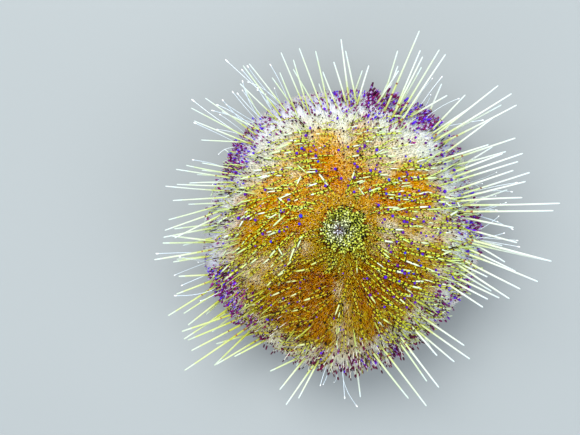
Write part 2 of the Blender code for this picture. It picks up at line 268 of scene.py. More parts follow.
def surf(p, a):
    """Points of the coat's surface. p is the polar angle from the top, a the azimuth."""
    p, a = np.broadcast_arrays(np.asarray(p, float), np.asarray(a, float))
    s = np.clip(np.sin(np.radians(p)), 0, 1)
    c = np.cos(np.radians(p))
    r = COAT_RADIUS * s**SIDE_POWER * (1 + s * s * swells(a))
    low = WIDEST_Z - UNDER_DROP * np.abs(c) ** UNDER_POWER
    near = np.clip((0.030 - r) / 0.020, 0, 1)
    low = low + MOUTH_HOLLOW * near * near * (3 - 2 * near)
    z = np.where(c >= 0, WIDEST_Z + DOME_RISE * c, low)
    t = np.radians(a)
    return np.stack([AXIS_X + r * np.cos(t), AXIS_Y + r * np.sin(t), z], -1)


def norm(p, a):
    e = 0.4
    p = np.clip(p, 1.0, 179.0)
    along = surf(p + e, a) - surf(p - e, a)
    around = surf(p, a + e) - surf(p, a - e)
    n = np.cross(along, around)
    n[..., 2] = np.where(np.asarray(p) > 170, -np.abs(n[..., 2]), n[..., 2])
    return unit(n)


def polar_of(x, y):
    """The polar angle of the upper surface over a place, from the axis. Past the widest level it stays there."""
    a = np.degrees(np.arctan2(y, x))
    r = np.hypot(x, y)
    s = np.clip(r / COAT_RADIUS, 0, 1)
    for _ in range(4):
        s = np.clip((r / (COAT_RADIUS * (1 + s * s * swells(a)))), 0, 0.9995) ** (1 / SIDE_POWER)
    return np.degrees(np.arcsin(s)), a


def depth(p):
    """How far the skin lies below the coat's surface."""
    return np.interp(p, [0, 8, 14, 30, 60, 80, 95, 110, 150, 165, 180],
                     [0.0034, 0.0034, 0.0040, 0.0050, 0.0054, 0.0060, 0.0060, 0.0050, 0.0040, 0.0026, 0.0022])


def spread(n, low, high, seed):
    """n places spread evenly over the surface between two polar angles."""
    steps = np.linspace(low, high, 200)
    ring = np.linalg.norm(surf(steps + 0.3, 0) - surf(steps - 0.3, 0), axis=-1) * np.hypot(
        surf(steps, 0)[:, 0] - AXIS_X, surf(steps, 0)[:, 1] - AXIS_Y
    )
    total = np.concatenate([[0], np.cumsum((ring[1:] + ring[:-1]) / 2)])
    i = np.arange(n) + 17 * seed + 0.5
    u = (i * 0.7548776662466927 + 0.137 * seed) % 1
    v = (i * 0.5698402909980532 + 0.291 * seed) % 1
    rng = np.random.default_rng(seed)
    v = (v + rng.normal(0, 0.2 / math.sqrt(n), n)) % 1
    u = (u + rng.normal(0, 0.2 / math.sqrt(n), n)) % 1
    return np.interp(v * total[-1], total, steps), u * 360.0


# ---------------------------------------------------------------- markings
def lin(*rgb):
    c = np.array(rgb, float) / 255
    return np.where(c <= 0.04045, c / 12.92, ((c + 0.055) / 1.055) ** 2.4)


def smooth(x, low, high):
    t = np.clip((x - low) / (high - low), 0, 1)
    return t * t * (3 - 2 * t)


def mix(a, b, t):
    t = np.asarray(t)[..., None]
    return a * (1 - t) + b * t


def waves(x, y, seed, size):
    """A smooth, uneven pattern from -1 to 1, from a few crossing waves."""
    rng = np.random.default_rng(seed)
    total = 0
    for _ in range(9):
        t, k = rng.uniform(0, 2 * math.pi), rng.uniform(0.6, 1.8) / size
        total = total + np.sin(2 * math.pi * k * (x * math.cos(t) + y * math.sin(t)) + rng.uniform(0, 6.28))
    return total / 4.5


# The middle of each pale ray, its half width, how pale it is and where it starts
PALE_RAYS = (
    (268.0, 8.0, 0.48, 0.16), (-4.0, 9.0, 0.32, 0.10), (57.0, 9.0, 0.42, 0.30), (90.0, 7.0, 0.18, 0.30),
    (128.0, 9.0, 0.15, 0.40), (146.0, 9.0, 0.14, 0.15), (204.0, 10.0, 0.34, 0.12),
)
# Patches: azimuth and half width, distance and half length as shares of the radius, how deep, or less than 0 for pale
DEEP_PATCHES = (
    (177.0, 17.0, 0.54, 0.27, 1.7), (152.0, 13.0, 0.50, 0.17, 0.55), (30.0, 14.0, 0.48, 0.19, 1.5),
    (109.0, 16.0, 0.47, 0.17, 0.7), (78.0, 6.0, 0.67, 0.07, 0.5), (244.0, 21.0, 0.60, 0.28, 1.5),
    (289.0, 11.0, 0.64, 0.22, 0.6), (314.0, 12.0, 0.54, 0.15, 1.0), (-16.0, 36.0, 0.28, 0.10, -0.5), (10.0, 15.0, 0.28, 0.09, -0.6),
    (213.0, 14.0, 0.33, 0.11, -0.35), (71.0, 7.0, 0.60, 0.12, -0.25), (315.0, 22.0, 0.80, 0.09, -0.8),
)


def around(a, middle):
    return (a - middle + 180) % 360 - 180


def ramp3(t, first, second, third):
    """A colour between three, at t from 0 to 1."""
    t = np.clip(t, 0, 1)
    return mix(mix(first, second, np.clip(t * 2, 0, 1)), third, np.clip(t * 2 - 1, 0, 1))


def markings(p, a):
    """The colour of skin and coat: golden, with deep amber patches, pale rays, a pale rim, and a yellow-brown ring
    round the disc that is partly painted shade of the disc; all of it darker and more olive towards -Y, partly its own
    colour and partly painted shade of the lower side.
    """
    point = surf(p, a)
    x, y = point[..., 0] - AXIS_X, point[..., 1] - AXIS_Y
    r = np.hypot(x, y) / COAT_RADIUS
    up = np.sin(np.radians(a))  # 1 towards +Y, -1 towards -Y
    east = np.cos(np.radians(a))
    # Painted shade: high and low blend an upper palette with a darker, more olive lower one, partly the coat's own
    # colour and partly shade of the lower side.
    high = smooth(up, -0.75, 0.6)
    low = 1 - high
    right = smooth(east, -0.4, 0.8)
    share = r / (1 + swells(a))
    to = np.radians(np.interp(np.asarray(a, float) % 360, LIE_AT, LIE_TO))
    along, across = x * np.cos(to) + y * np.sin(to), y * np.cos(to) - x * np.sin(to)
    blotch = waves(x, y, 5, 0.030)
    fine = waves(x, y, 6, 0.011)
    grain = waves(x, y, 7, 0.0045)
    streak = waves(along * 0.2, across, 8, 0.0040)
    trend = 0.62 * high * smooth(share, 0.34, 0.84) + 0.22 * low * smooth(share, 0.50, 0.86)
    pale = 0.14 + trend + 0.19 * blotch + 0.20 * fine + 0.09 * grain + 0.20 * streak
    for middle, half, strength, start in PALE_RAYS:
        wide = half * (0.75 + 0.35 * r)
        turn = around(a + 5 * blotch, middle)
        pale = pale + strength * np.exp(-((turn / wide) ** 2)) * smooth(r, start, start + 0.24)
    for middle, half, far, long, strength in DEEP_PATCHES:
        turn = around(a + 4 * blotch, middle)
        there = np.exp(-((turn / half) ** 4) - (((r - far + 0.03 * fine) / long) ** 4))
        pale = pale - 0.6 * strength * there
    colour = mix(
        ramp3(pale, lin(112, 42, 0), lin(152, 88, 6), lin(232, 202, 112)),
        ramp3(pale, lin(214, 92, 0), lin(234, 172, 40), lin(244, 240, 190)),
        high,
    )
    # The rim's lower-side colours are darker and yellower, partly their own colour and partly painted shade of the
    # lower side.
    not_low = smooth(up, -0.75, -0.2)
    inner = mix(mix(lin(172, 140, 40), lin(236, 246, 200), right), mix(lin(216, 222, 190), lin(232, 244, 216), right), not_low)
    outer = mix(mix(lin(186, 176, 104), lin(212, 224, 220), right), mix(lin(206, 212, 246), lin(212, 228, 250), right), not_low)
    rim = mix(inner, outer, smooth(share, 0.82, 0.94))
    edge = smooth(share + 0.04 * blotch + 0.03 * fine + 0.03 * grain + 0.03 * high - 0.08 * low * (1 - 0.7 * right), 0.72, 0.88)
    colour = mix(colour, rim, edge)
    # The ring round the disc is darker on the lower side and darkest under the disc's spines: partly the skin's own
    # yellow-brown, partly painted shade of the disc.
    ring = smooth(r, 0.34, 0.16)
    colour = mix(colour, mix(lin(178, 118, 6), lin(132, 92, 4), low), 0.75 * ring)
    colour = mix(colour, lin(110, 78, 8), smooth(r, 0.165, 0.115))
    side = mix(lin(244, 222, 176), lin(222, 158, 78), np.clip(0.42 + 0.5 * blotch + 0.3 * fine + 0.25 * streak, 0, 1))
    colour = mix(colour, side, 0.85 * smooth(np.asarray(p, float), 74, 92))
    under = smooth(np.asarray(p, float), 92, 118)
    below = mix(lin(206, 168, 112), lin(186, 122, 62), 0.5 + 0.5 * fine)
    return mix(colour, below, under)


# ---------------------------------------------------------------- the lie of the coat
LIE_AT = (0, 15, 35, 60, 94.99, 95.01, 125, 145, 165, 180, 195, 213, 225, 240, 255, 262, 270, 276, 285, 293, 302, 315, 345, 360)
LIE_TO = (-10, -4, 4, 12, 16, 184, 188, 198, 208, 216, 220, 222, 212, 192, 190, 226, 264, 288, 306, 318, 330, 340, 348, 350)


def lie(p, a, swing, seed=0):
    """The way that the coat points, seen from above, as a unit tangent. It streams to both sides and droops towards -Y."""
    a = np.asarray(a, float) % 360
    apart_by = np.random.default_rng(seed + 900).normal(0, 8, a.shape) * np.exp(-((around(a, 95) / 18) ** 2))
    to = np.interp((a + apart_by) % 360, LIE_AT, LIE_TO)
    radial = smooth(np.asarray(p, float), 13, 8) + smooth(np.asarray(p, float), 68, 86)
    radial = np.clip(radial, 0, 1)
    to = to + radial * ((a - to + 180) % 360 - 180) + swing
    t = np.radians(to)
    flat = np.stack([np.cos(t), np.sin(t), np.zeros_like(t)], -1)
    n = norm(p, a)
    return unit(flat - n * (flat * n).sum(-1, keepdims=True)), n


# ---------------------------------------------------------------- meshes
def cells(u, v, count=333):
    """Each root's own free cell of a fine grid, next to where it lies on the unwrap of the skin."""
    taken = np.zeros(count * count, bool)
    at = (np.clip(v, 0, 0.9999) * count).astype(int) * count + (np.clip(u, 0, 0.9999) * count).astype(int)
    found = np.empty(len(at), int)
    for i, c in enumerate(at):
        step = 0
        while taken[(c + step) % (count * count)]:
            step = -step if step > 0 else 1 - step
            if abs(step) > 400:
                break
        c = (c + step) % (count * count)
        taken[c] = True
        found[i] = c
    return (found % count + 0.5) / count, (found // count + 0.5) / count


def unwrap(p, a):
    """The skin's own unwrap: azimuth across, and area from the top to the mouth upwards."""
    return (np.asarray(a, float) % 360) / 360, (1 - np.cos(np.radians(p))) / 2


def make(name, points, faces, colours, uv, material, smooth_shade=True):
    """A mesh from arrays. faces is a list of arrays, each with faces of one number of corners."""
    mesh = bpy.data.meshes.new(name)
    mesh.vertices.add(len(points))
    mesh.vertices.foreach_set("co", np.ascontiguousarray(points, np.float32).ravel())
    faces = [f for f in faces if len(f)]
    corners = np.concatenate([f.ravel() for f in faces]).astype(np.int32)
    sizes = np.concatenate([np.full(len(f), f.shape[1]) for f in faces])
    starts = np.concatenate([[0], np.cumsum(sizes)[:-1]]).astype(np.int32)
    mesh.loops.add(len(corners))
    mesh.loops.foreach_set("vertex_index", corners)
    mesh.polygons.add(len(sizes))
    mesh.polygons.foreach_set("loop_start", starts)
    mesh.polygons.foreach_set("use_smooth", np.full(len(sizes), smooth_shade))
    mesh.update(calc_edges=True)
    layer = mesh.color_attributes.new("Col", "FLOAT_COLOR", "POINT")
    rgba = np.ones((len(points), 4), np.float32)
    rgba[:, :3] = np.clip(colours, 0, 1)
    layer.data.foreach_set("color", rgba.ravel())
    map_ = mesh.uv_layers.new(name="OFBake")
    map_.uv.foreach_set("vector", np.ascontiguousarray(uv[corners], np.float32).ravel())
    mesh.materials.append(material)
    obj = bpy.data.objects.new(name, mesh)
    bpy.context.scene.collection.objects.link(obj)
    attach(obj, "root")
    return obj


def sweep(name, paths, radii, colours, sides, roots, material, pointed=True):
    """Many shafts at once. paths is (n, k, 3), radii (n, k) and colours (n, k, 3). Each ends in a point or in a flat cap, and its root is closed."""
    n, k, _ = paths.shape
    tangent = np.gradient(paths, axis=1)
    tangent = unit(tangent)
    first = unit(paths[:, -1] - paths[:, 0])
    side = np.where(np.abs(first[:, 2:3]) < 0.9, np.array([[0.0, 0.0, 1.0]]), np.array([[1.0, 0.0, 0.0]]))
    n1 = unit(np.cross(side, first))[:, None, :]
    n1 = unit(n1 - tangent * (n1 * tangent).sum(-1, keepdims=True))
    n2 = np.cross(tangent, n1)
    turn = 2 * math.pi * (np.arange(sides) / sides)[None, None, :, None]
    turn = turn + (np.arange(n) * 2.399963)[:, None, None, None]
    ring = paths[:, :, None, :] + radii[:, :, None, None] * (
        np.cos(turn) * n1[:, :, None, :] + np.sin(turn) * n2[:, :, None, :]
    )
    rings = k - 1 if pointed else k
    per = rings * sides + (1 if pointed else 0)
    body = ring[:, :rings].reshape(n, rings * sides, 3)
    tint = np.repeat(colours[:, :rings], sides, axis=1)
    if pointed:
        body = np.concatenate([body, paths[:, -1:]], 1)
        tint = np.concatenate([tint, colours[:, -1:]], 1)
    base = (np.arange(n) * per)[:, None, None, None]
    i, j = np.arange(rings - 1)[:, None], np.arange(sides)[None, :]
    quad = np.stack([i * sides + j, i * sides + (j + 1) % sides, (i + 1) * sides + (j + 1) % sides, (i + 1) * sides + j], -1)
    quads = (base + quad[None]).reshape(-1, 4)
    root = (base[:, 0, 0] + np.arange(sides)[None, ::-1]).reshape(-1, sides)
    faces = [quads, root]
    if pointed:
        last = (rings - 1) * sides
        tri = np.stack([last + np.arange(sides), last + (np.arange(sides) + 1) % sides, np.full(sides, rings * sides)], -1)
        faces.append((base[:, :, 0] + tri[None]).reshape(-1, 3))
    else:
        faces.append((base[:, 0, 0] + (rings - 1) * sides + np.arange(sides)[None]).reshape(-1, sides))
    cu, cv = cells(*unwrap(*roots))
    length = np.concatenate([np.zeros((n, 1)), np.cumsum(np.linalg.norm(np.diff(paths, axis=1), axis=-1), 1)], 1)
    length = length / length[:, -1:]
    v = cv[:, None] + 0.0029 * (np.repeat(length[:, :rings], sides, axis=1) - 0.5)
    u = cu[:, None] + 0.0029 * (np.tile(np.arange(sides) / sides, rings)[None] - 0.5)
    u = np.broadcast_to(u, (n, rings * sides))
    if pointed:
        u = np.concatenate([u, cu[:, None]], 1)
        v = np.concatenate([v, cv[:, None] + 0.00145], 1)
    uv = np.stack([u, v], -1).reshape(-1, 2)
    return make(name, body.reshape(-1, 3), faces, tint.reshape(-1, 3), uv, material)


# ---------------------------------------------------------------- materials
def coat_material(name, rough=0.45, fleck=0.25, scale=900.0, bump=0.0, specular=0.5, soft=0.0, sheen=0.0):
    """The mesh's own markings, broken up by fine flecks, with a little relief."""
    mat = bpy.data.materials.new(name)
    mat.use_nodes = True
    nt = mat.node_tree
    bsdf = nt.nodes["Principled BSDF"]
    col = nt.nodes.new("ShaderNodeAttribute")
    col.attribute_name = "Col"
    place = nt.nodes.new("ShaderNodeTexCoord")
    noise = nt.nodes.new("ShaderNodeTexNoise")
    noise.inputs["Scale"].default_value = scale
    noise.inputs["Detail"].default_value = 2.0
    nt.links.new(place.outputs["Object"], noise.inputs["Vector"])
    ramp = nt.nodes.new("ShaderNodeMapRange")
    ramp.inputs["From Min"].default_value = 0.3
    ramp.inputs["From Max"].default_value = 0.7
    ramp.inputs["To Min"].default_value = 1.0 - fleck
    ramp.inputs["To Max"].default_value = 1.0 + fleck
    nt.links.new(noise.outputs["Fac"], ramp.inputs["Value"])
    times = nt.nodes.new("ShaderNodeVectorMath")
    times.operation = "SCALE"
    nt.links.new(col.outputs["Color"], times.inputs[0])
    nt.links.new(ramp.outputs["Result"], times.inputs["Scale"])
    nt.links.new(times.outputs["Vector"], bsdf.inputs["Base Color"])
    bsdf.inputs["Roughness"].default_value = rough
    bsdf.inputs["Specular IOR Level"].default_value = specular
    if soft:
        bsdf.inputs["Subsurface Weight"].default_value = soft
        bsdf.inputs["Subsurface Radius"].default_value = (1.0, 0.85, 0.5)
        bsdf.inputs["Subsurface Scale"].default_value = 0.002
    if sheen:
        bsdf.inputs["Sheen Weight"].default_value = sheen
    if bump:
        relief = nt.nodes.new("ShaderNodeBump")
        relief.inputs["Strength"].default_value = bump
        relief.inputs["Distance"].default_value = 0.0002
        nt.links.new(noise.outputs["Fac"], relief.inputs["Height"])
        nt.links.new(relief.outputs["Normal"], bsdf.inputs["Normal"])
    return mat


M_SKIN = coat_material("skin", 0.55, 0.12, 500.0, bump=0.4, specular=0.15, soft=0.4)
M_FUZZ = coat_material("fine_coat", 0.6, 0.05, 900.0, specular=0.06, soft=0.8)
M_SPINE = coat_material("banded_spines", 0.45, 0.08, 1500.0, bump=0.1, specular=0.14)
M_LONG = coat_material("long_spines", 0.35, 0.06, 1800.0, bump=0.25, specular=0.35)
M_BEAD = coat_material("beads", 0.4, 0.1, 1500.0, specular=0.14)
M_CLEAR = coat_material("tube_feet", 0.2, 0.1, 1500.0)


# ---------------------------------------------------------------- skin
def build_skin():
    """One closed skin under the whole coat, with low plates and knobs, darkened in the grooves between the plates as
    painted shade.
    """
    rows, turns = 120, 300
    p = np.linspace(0.6, 179.4, rows)
    a = np.arange(turns) * 360.0 / turns
    pp, aa = np.meshgrid(p, a, indexing="ij")
    base, n = surf(pp, aa), norm(pp, aa)
    r = np.hypot(base[..., 0] - AXIS_X, base[..., 1] - AXIS_Y)
    rows_of_plates = np.sin(pp * math.pi / 180 * 34) * np.clip(r / 0.02, 0, 1)
    knobs = np.sin(r * 2100) * np.sin(np.radians(aa) * 45)
    lift = 0.00025 * rows_of_plates + 0.00018 * knobs
    pts = base - n * (depth(pp) - lift)[..., None]
    col = markings(pp, aa)
    # Painted shade: the skin's colour is darkened where the plate relief sinks into grooves.
    painted_groove_shade = 0.88 + 0.12 * smooth(rows_of_plates, -1, 0.2)
    col = col * painted_groove_shade[..., None]
    points = pts.reshape(-1, 3)
    colours = col.reshape(-1, 3)
    i, j = np.arange(rows - 1)[:, None], np.arange(turns)[None, :]
    quads = np.stack([i * turns + j, (i + 1) * turns + j, (i + 1) * turns + (j + 1) % turns, i * turns + (j + 1) % turns], -1).reshape(-1, 4)
    top, bottom = len(points), len(points) + 1
    points = np.concatenate([points, [pts[0].mean(0), pts[-1].mean(0)]])
    colours = np.concatenate([colours, [col[0].mean(0), col[-1].mean(0)]])
    jj = np.arange(turns)
    cap1 = np.stack([np.full(turns, top), jj, (jj + 1) % turns], -1)
    off = (rows - 1) * turns
    cap2 = np.stack([np.full(turns, bottom), off + (jj + 1) % turns, off + jj], -1)
    u, v = unwrap(pp, aa)
    uv = np.stack([u, v], -1).reshape(-1, 2)
    uv = np.concatenate([uv, [[0.5, 0.0], [0.5, 1.0]]])
    return make("urchin_skin", points, [quads, cap1, cap2], colours, uv, M_SKIN)


def along_surface(p, a, way, lengths, heights, droop=0.0):
    """Paths that follow the upper surface from the places p, a: heights (n, k) above the coat's level at the lengths (n, k) along it."""
    start = surf(p, a)
    flat = unit(np.concatenate([way[:, :2], np.zeros((len(way), 1))], 1))
    steep = np.hypot(way[:, 0], way[:, 1])[:, None]
    x = start[:, None, 0] - AXIS_X + flat[:, None, 0] * lengths * steep
    y = start[:, None, 1] - AXIS_Y + flat[:, None, 1] * lengths * steep
    pp, aa = polar_of(x, y)
    base = surf(pp, aa)
    n = norm(pp, aa)
    base[..., 0], base[..., 1] = x + AXIS_X, y + AXIS_Y
    return base + n * heights[..., None]


def straight(p, a, way, lengths, sink, sag=None):
    """Paths that leave the skin at p, a in the direction way and bend by sag at the tip."""
    root = surf(p, a) - norm(p, a) * sink[:, None]
    path = root[:, None, :] + way[:, None, :] * lengths[..., None]
    if sag is not None:
        share = (lengths / lengths[:, -1:]) ** 2
        path = path + sag[:, None, :] * share[..., None]
    return path


def shade(colour, rng, amount):
    """The colour, lighter or darker by chance for each spine."""
    return colour * np.exp(rng.normal(0, amount, (len(colour), 1)))


# ---------------------------------------------------------------- fine coat
def fine_coat(name, count, low, high, seed, length, lean, radius, pale=0.0):
    """Short fine tapering spines in the colour of the markings, painted a little darker towards the root as shade deep
    in the coat. pale is how many have a pale tip.
    """
    rng = np.random.default_rng(seed)
    p, a = spread(count, low, high, seed)
    crown = smooth(p, 76, 64)
    loose = 30 + 25 * crown + 90 * crown * np.exp(-((around(a, 95) / 26) ** 2))
    t, n = lie(p, a, rng.normal(0, 1, count) * loose, seed)
    tilt = np.radians(np.clip(np.abs(rng.normal(lean, 12, count)), 0, 75))
    way = unit(n * np.cos(tilt)[:, None] + t * np.sin(tilt)[:, None])
    place = surf(p, a) - AXIS
    ragged = 1 + 0.36 * waves(place[:, 0], place[:, 1], 9, 0.0085) * smooth(p, 58, 74)
    size = depth(p) * length * np.clip(ragged, 0.6, 1.12) * np.exp(rng.normal(0, 0.10, count)) / np.cos(tilt * 0.8)
    path = straight(p, a, way, size[:, None] * np.array([0.0, 1.0]), depth(p))
    radii = radius * np.array([1.0, 0.2])[None] * np.exp(rng.normal(0, 0.12, (count, 1)))
    tone = markings(p, a)
    pick = rng.random(count)
    upper = smooth(np.sin(np.radians(a)), -0.8, 0.4)
    tip = mix(tone, lin(250, 250, 214), np.where(pick < pale, upper * 0.5 + 0.05, 0.0))
    tip = mix(tip, lin(170, 100, 0), np.where(pick > 0.92, 0.3, 0.0))
    tip = shade(tip, rng, 0.04)
    # Painted shade: each hair is a little darker at its root, deep in the coat, and a little lighter at its tip.
    root = tone * 0.98
    return sweep(name, path, radii, np.stack([root, tip * 1.04], 1), 3, (p, a), M_FUZZ)


# ---------------------------------------------------------------- stations of a shaft with sharp bands
def banded(edges, tones):
    """Stations and colours for bands with sharp edges. edges (n, b+1) rise from 0 to 1, tones is (n, b, 3)."""
    n, b, _ = tones.shape
    gap = 0.08
    wide = edges[:, 1:] - edges[:, :-1]
    first = edges[:, :-1] + wide * gap
    last = edges[:, 1:] - wide * gap
    first[:, 0] = edges[:, 0]
    last[:, -1] = edges[:, -1]
    at = np.stack([first, last], -1).reshape(n, 2 * b)
    return at, np.repeat(tones, 2, axis=1)


def in_deep_rays(p, a):
    """1 in the deep rays and 0 in the pale ones and at the upper rim."""
    x, y = (surf(p, a) - AXIS)[..., 0], (surf(p, a) - AXIS)[..., 1]
    r = np.hypot(x, y) / COAT_RADIUS
    up = np.sin(np.radians(a))
    pale = 0
    for middle, half, strength, _ in PALE_RAYS:
        pale = np.maximum(pale, strength * np.exp(-((around(a, middle) / (half * (0.75 + 0.35 * r))) ** 2)))
    r = r / (1 + swells(a))
    limit = np.interp(up, [-1, -0.4, 0.3, 1], [0.90, 0.86, 0.74, 0.68])
    limit = limit - 0.09 * smooth(-np.cos(np.radians(a)), 0.2, 0.8) * smooth(up, -0.15, 0.1)
    limit = limit - 0.06 * smooth(np.cos(np.radians(a)), 0.4, 0.9) * smooth(up, 0.1, 0.3)
    return (1 - 0.8 * pale * smooth(r, 0.3, 0.5)) * (1 - 0.93 * smooth(r, limit, limit + 0.16))


def banded_spines(name, count, low, high, seed, radius, length, share, sides, bands):
    """Slender spines, yellow with black joints, and pale green to white towards the tip, combed flat over the coat."""
    rng = np.random.default_rng(seed)
    p, a = spread(count, low, high, seed)
    keep = rng.random(count) < in_deep_rays(p, a) * (1 - 0.42 * np.exp(-((around(a, 236) / 34) ** 2)))
    p, a = p[keep], a[keep]
    count = len(p)
    t, n = lie(p, a, np.where(rng.random(count) < 0.16, rng.normal(0, 46, count), rng.normal(0, 10, count)), seed)
    size = np.clip(rng.normal(length, length * 0.22, count), 0.005, 0.022)
    dark = np.arange(bands)[None] % 2 == 1
    share = share * (1 - 0.45 * smooth(-np.sin(np.radians(a)), 0.1, 0.6))
    white_from = np.where(rng.random(count) < share, rng.uniform(0.55, 0.80, count), 1.1)[:, None]
    wide = np.where(dark, 0.42, 1.0) * np.exp(rng.normal(0, 0.15, (count, bands)))
    edges = np.concatenate([np.zeros((count, 1)), np.cumsum(wide, 1)], 1)
    edges = edges / edges[:, -1:]
    middle = (edges[:, 1:] + edges[:, :-1]) / 2
    low_down = smooth(-np.sin(np.radians(a)), -0.2, 0.8)[:, None]
    yellow = mix(lin(170, 174, 8), lin(186, 206, 76), rng.random((count, 1)) * np.ones((1, bands)))
    east = smooth(np.cos(np.radians(a)), 0.1, 0.7)[:, None]
    yellow = mix(yellow, lin(164, 134, 4), 0.62 * low_down * (1 - 0.75 * east) * np.ones((1, bands)))
    yellow = mix(yellow, lin(196, 204, 46), 0.5 * low_down * east * np.ones((1, bands)))
    yellow = mix(yellow, lin(166, 122, 6), 0.5 * (middle < 0.2))
    far = np.hypot(*(surf(p, a) - AXIS)[:, :2].T) / COAT_RADIUS / (1 + swells(a))
    faded = smooth(far, 0.56, 0.78) * (0.4 + 0.6 * smooth(np.sin(np.radians(a)), -0.6, 0.0))
    black = mix(lin(12, 5, 0), lin(116, 74, 50), 0.8 * faded[:, None] * np.ones((1, bands)))
    white = mix(lin(178, 206, 116), lin(204, 218, 204), rng.random((count, 1)) ** 0.7 * np.ones((1, bands)))
    white = mix(white, lin(182, 182, 76), 0.6 * low_down * (1 - 0.6 * east) * np.ones((1, bands)))
    tones = np.where(dark[..., None], black, yellow)
    tones = np.where((middle > white_from)[..., None], white, tones)
    at, colours = banded(edges, tones)
    lengths = at * size[:, None]
    rise = np.interp(at, [0, 0.16, 0.34, 0.7, 1.0], [0, 0.55, 0.92, 1.0, 1.0])
    over = rng.uniform(-0.0012, 0.0018, count)[:, None]
    heights = -depth(p)[:, None] * (1 - rise) + over * rise
    path = along_surface(p, a, t, lengths, heights)
    pale_here = np.repeat(middle > white_from, 2, axis=1)
    radii = (radius * np.exp(rng.normal(0, 0.15, (count, 1)))) * np.where(pale_here, 1.32, np.where(np.repeat(dark, 2, axis=1), 1.1, 1.0))
    radii = radii * np.interp(at, [0, 0.5, 0.95, 1.0], [1.0, 1.0, 0.97, 0.6])
    return sweep(name, path, radii, colours, sides, (p, a), M_SPINE, pointed=False)


def tipped(name, p, a, way, size, bulb, stretch, pale, dark, sides):
    """Clear shafts from the skin, each with one swollen dark tip. stretch is how much longer than wide the tip is."""
    count = len(p)
    near = bulb[:, None] * np.stack([2.1 * stretch + 0.3, 2.1 * stretch, 1.2 * stretch, 0.35 * stretch, 0 * stretch], 1)
    lengths = np.concatenate([np.zeros((count, 1)), (size * 0.5)[:, None], size[:, None] - near], 1)
    shaft = np.full((count, 1), 0.00019)
    bulb = bulb[:, None]
    radii = np.concatenate([shaft, shaft, shaft, bulb * 0.7, bulb, bulb * 0.72, bulb * 0.1], 1)
    # Painted shade: each shaft's root, deep in the coat, is darker than the rest of the shaft.
    colours = np.stack([pale * 0.85, pale, pale, dark, dark, dark, dark], 1)
    path = straight(p, a, way, lengths, depth(p))
    return sweep(name, path, radii, colours, sides, (p, a), M_BEAD)


def dots(name, count, seed):
    """Fine spines with a small round maroon tip, scattered over the coat and closer together towards the rim."""
    rng = np.random.default_rng(seed)
    p, a = spread(count, 12, 96, seed)
    r = np.hypot(*(surf(p, a) - AXIS)[:, :2].T) / COAT_RADIUS / (1 + swells(a))
    few = 0.4 * np.exp(-((around(a, -14) / 16) ** 4)) + np.exp(-((around(a, 24) / 16) ** 4)) + np.exp(-((around(a, 50) / 9) ** 4))
    few = few + (0.9 * np.exp(-((around(a, 184) / 24) ** 4)) + 0.6 * np.exp(-((around(a, 268) / 26) ** 4))) * smooth(r, 0.7, 0.9)
    keep = rng.random(count) < np.interp(r, [0.2, 0.5, 0.66, 0.76, 0.92, 0.98], [0.4, 0.45, 0.65, 0.85, 0.8, 0.4]) * (1 - 0.72 * np.minimum(few, 1))
    p, a = p[keep], a[keep]
    count = len(p)
    t, n = lie(p, a, rng.normal(0, 30, count))
    tilt = np.radians(np.clip(rng.normal(22, 15, count), 0, 65))
    way = unit(n * np.cos(tilt)[:, None] + t * np.sin(tilt)[:, None])
    west = smooth(-np.cos(np.radians(a)), 0.3, 0.8)
    bulb = 0.00048 * (1 - 0.14 * west) * np.exp(rng.normal(0, 0.18, count))
    size = depth(p) * rng.uniform(1.06, 1.26, count) + bulb
    pale = shade(markings(p, a), rng, 0.1)
    pick = rng.random(count)
    dark = mix(lin(92, 0, 48), lin(40, 0, 18), rng.random(count))
    rim = smooth(p, 48, 62)
    upper = smooth(np.sin(np.radians(a)), -0.5, 0.2)
    dark = mix(dark, mix(lin(136, 10, 104), lin(84, 2, 84), rng.random(count)), rim * upper)
    dark = mix(dark, lin(84, 30, 190), (pick > 0.88 - 0.30 * rim * upper * (1 - 0.7 * west)).astype(float))
    east = smooth(np.cos(np.radians(a)), 0.2, 0.8)
    dark = mix(dark, lin(14, 3, 0), (pick < 0.45 - 0.42 * np.maximum(rim * upper, 0.7 * east)).astype(float))
    return tipped(name, p, a, way, size, bulb, rng.uniform(0.8, 1.3, count), pale, dark, 4)


def closeness(a):
    """How close together the dark rim tips stand round the rim, from the clumps in TUFTS."""
    total = np.full(np.shape(a), 0.03)
    total = total + 0.16 * np.exp(-((around(a, 262) / 50) ** 4)) + 0.10 * np.exp(-((around(a, 142) / 22) ** 4))
    for middle, half, count, _ in TUFTS:
        total = total + (count / 46) ** 1.4 * np.exp(-((around(a, middle) / (half * 1.15)) ** 2))
    return np.clip(total, 0, 1)


def rim_tips(name, count, seed):
    """Longer clear spines at the rim with a drawn-out tip: purple above, nearly black below."""
    rng = np.random.default_rng(seed)
    p, a = spread(count, 44, 104, seed)
    keep = rng.random(count) < closeness(a) * np.interp(p, [44, 52, 60, 72, 82, 92, 104], [0.12, 0.45, 1.0, 1.0, 0.7, 0.4, 0.3])
    p, a = p[keep], a[keep]
    count = len(p)
    below = smooth(-np.sin(np.radians(a)), 0.55, 0.85)
    t, n = lie(p, a, rng.normal(0, 16, count))
    tilt = np.radians(np.clip(rng.normal(24, 16, count), -10, 65))
    way = unit(n * np.cos(tilt)[:, None] + t * np.sin(tilt)[:, None])
    bulb = mix(np.array([0.00056]), np.array([0.00050]), below)[:, 0] * np.exp(rng.normal(0, 0.18, count))
    size = depth(p) + bulb + rng.uniform(0.0, 1.0, count) ** 1.4 * (0.0030 + 0.0048 * below)
    stretch = rng.uniform(1.0, 2.1, count) + 0.6 * below
    pale = mix(lin(222, 216, 232), lin(232, 232, 214), below)
    purple = mix(lin(134, 4, 116), lin(76, 0, 84), rng.random(count))
    pick = rng.random(count)
    purple = mix(purple, lin(80, 30, 200), (pick > 0.72).astype(float) * (1 - below))
    black = mix(lin(100, 0, 54), lin(36, 2, 18), rng.random(count))
    dark = mix(purple, black, below)
    return tipped(name, p, a, way, size, bulb, stretch, pale, dark, 4)


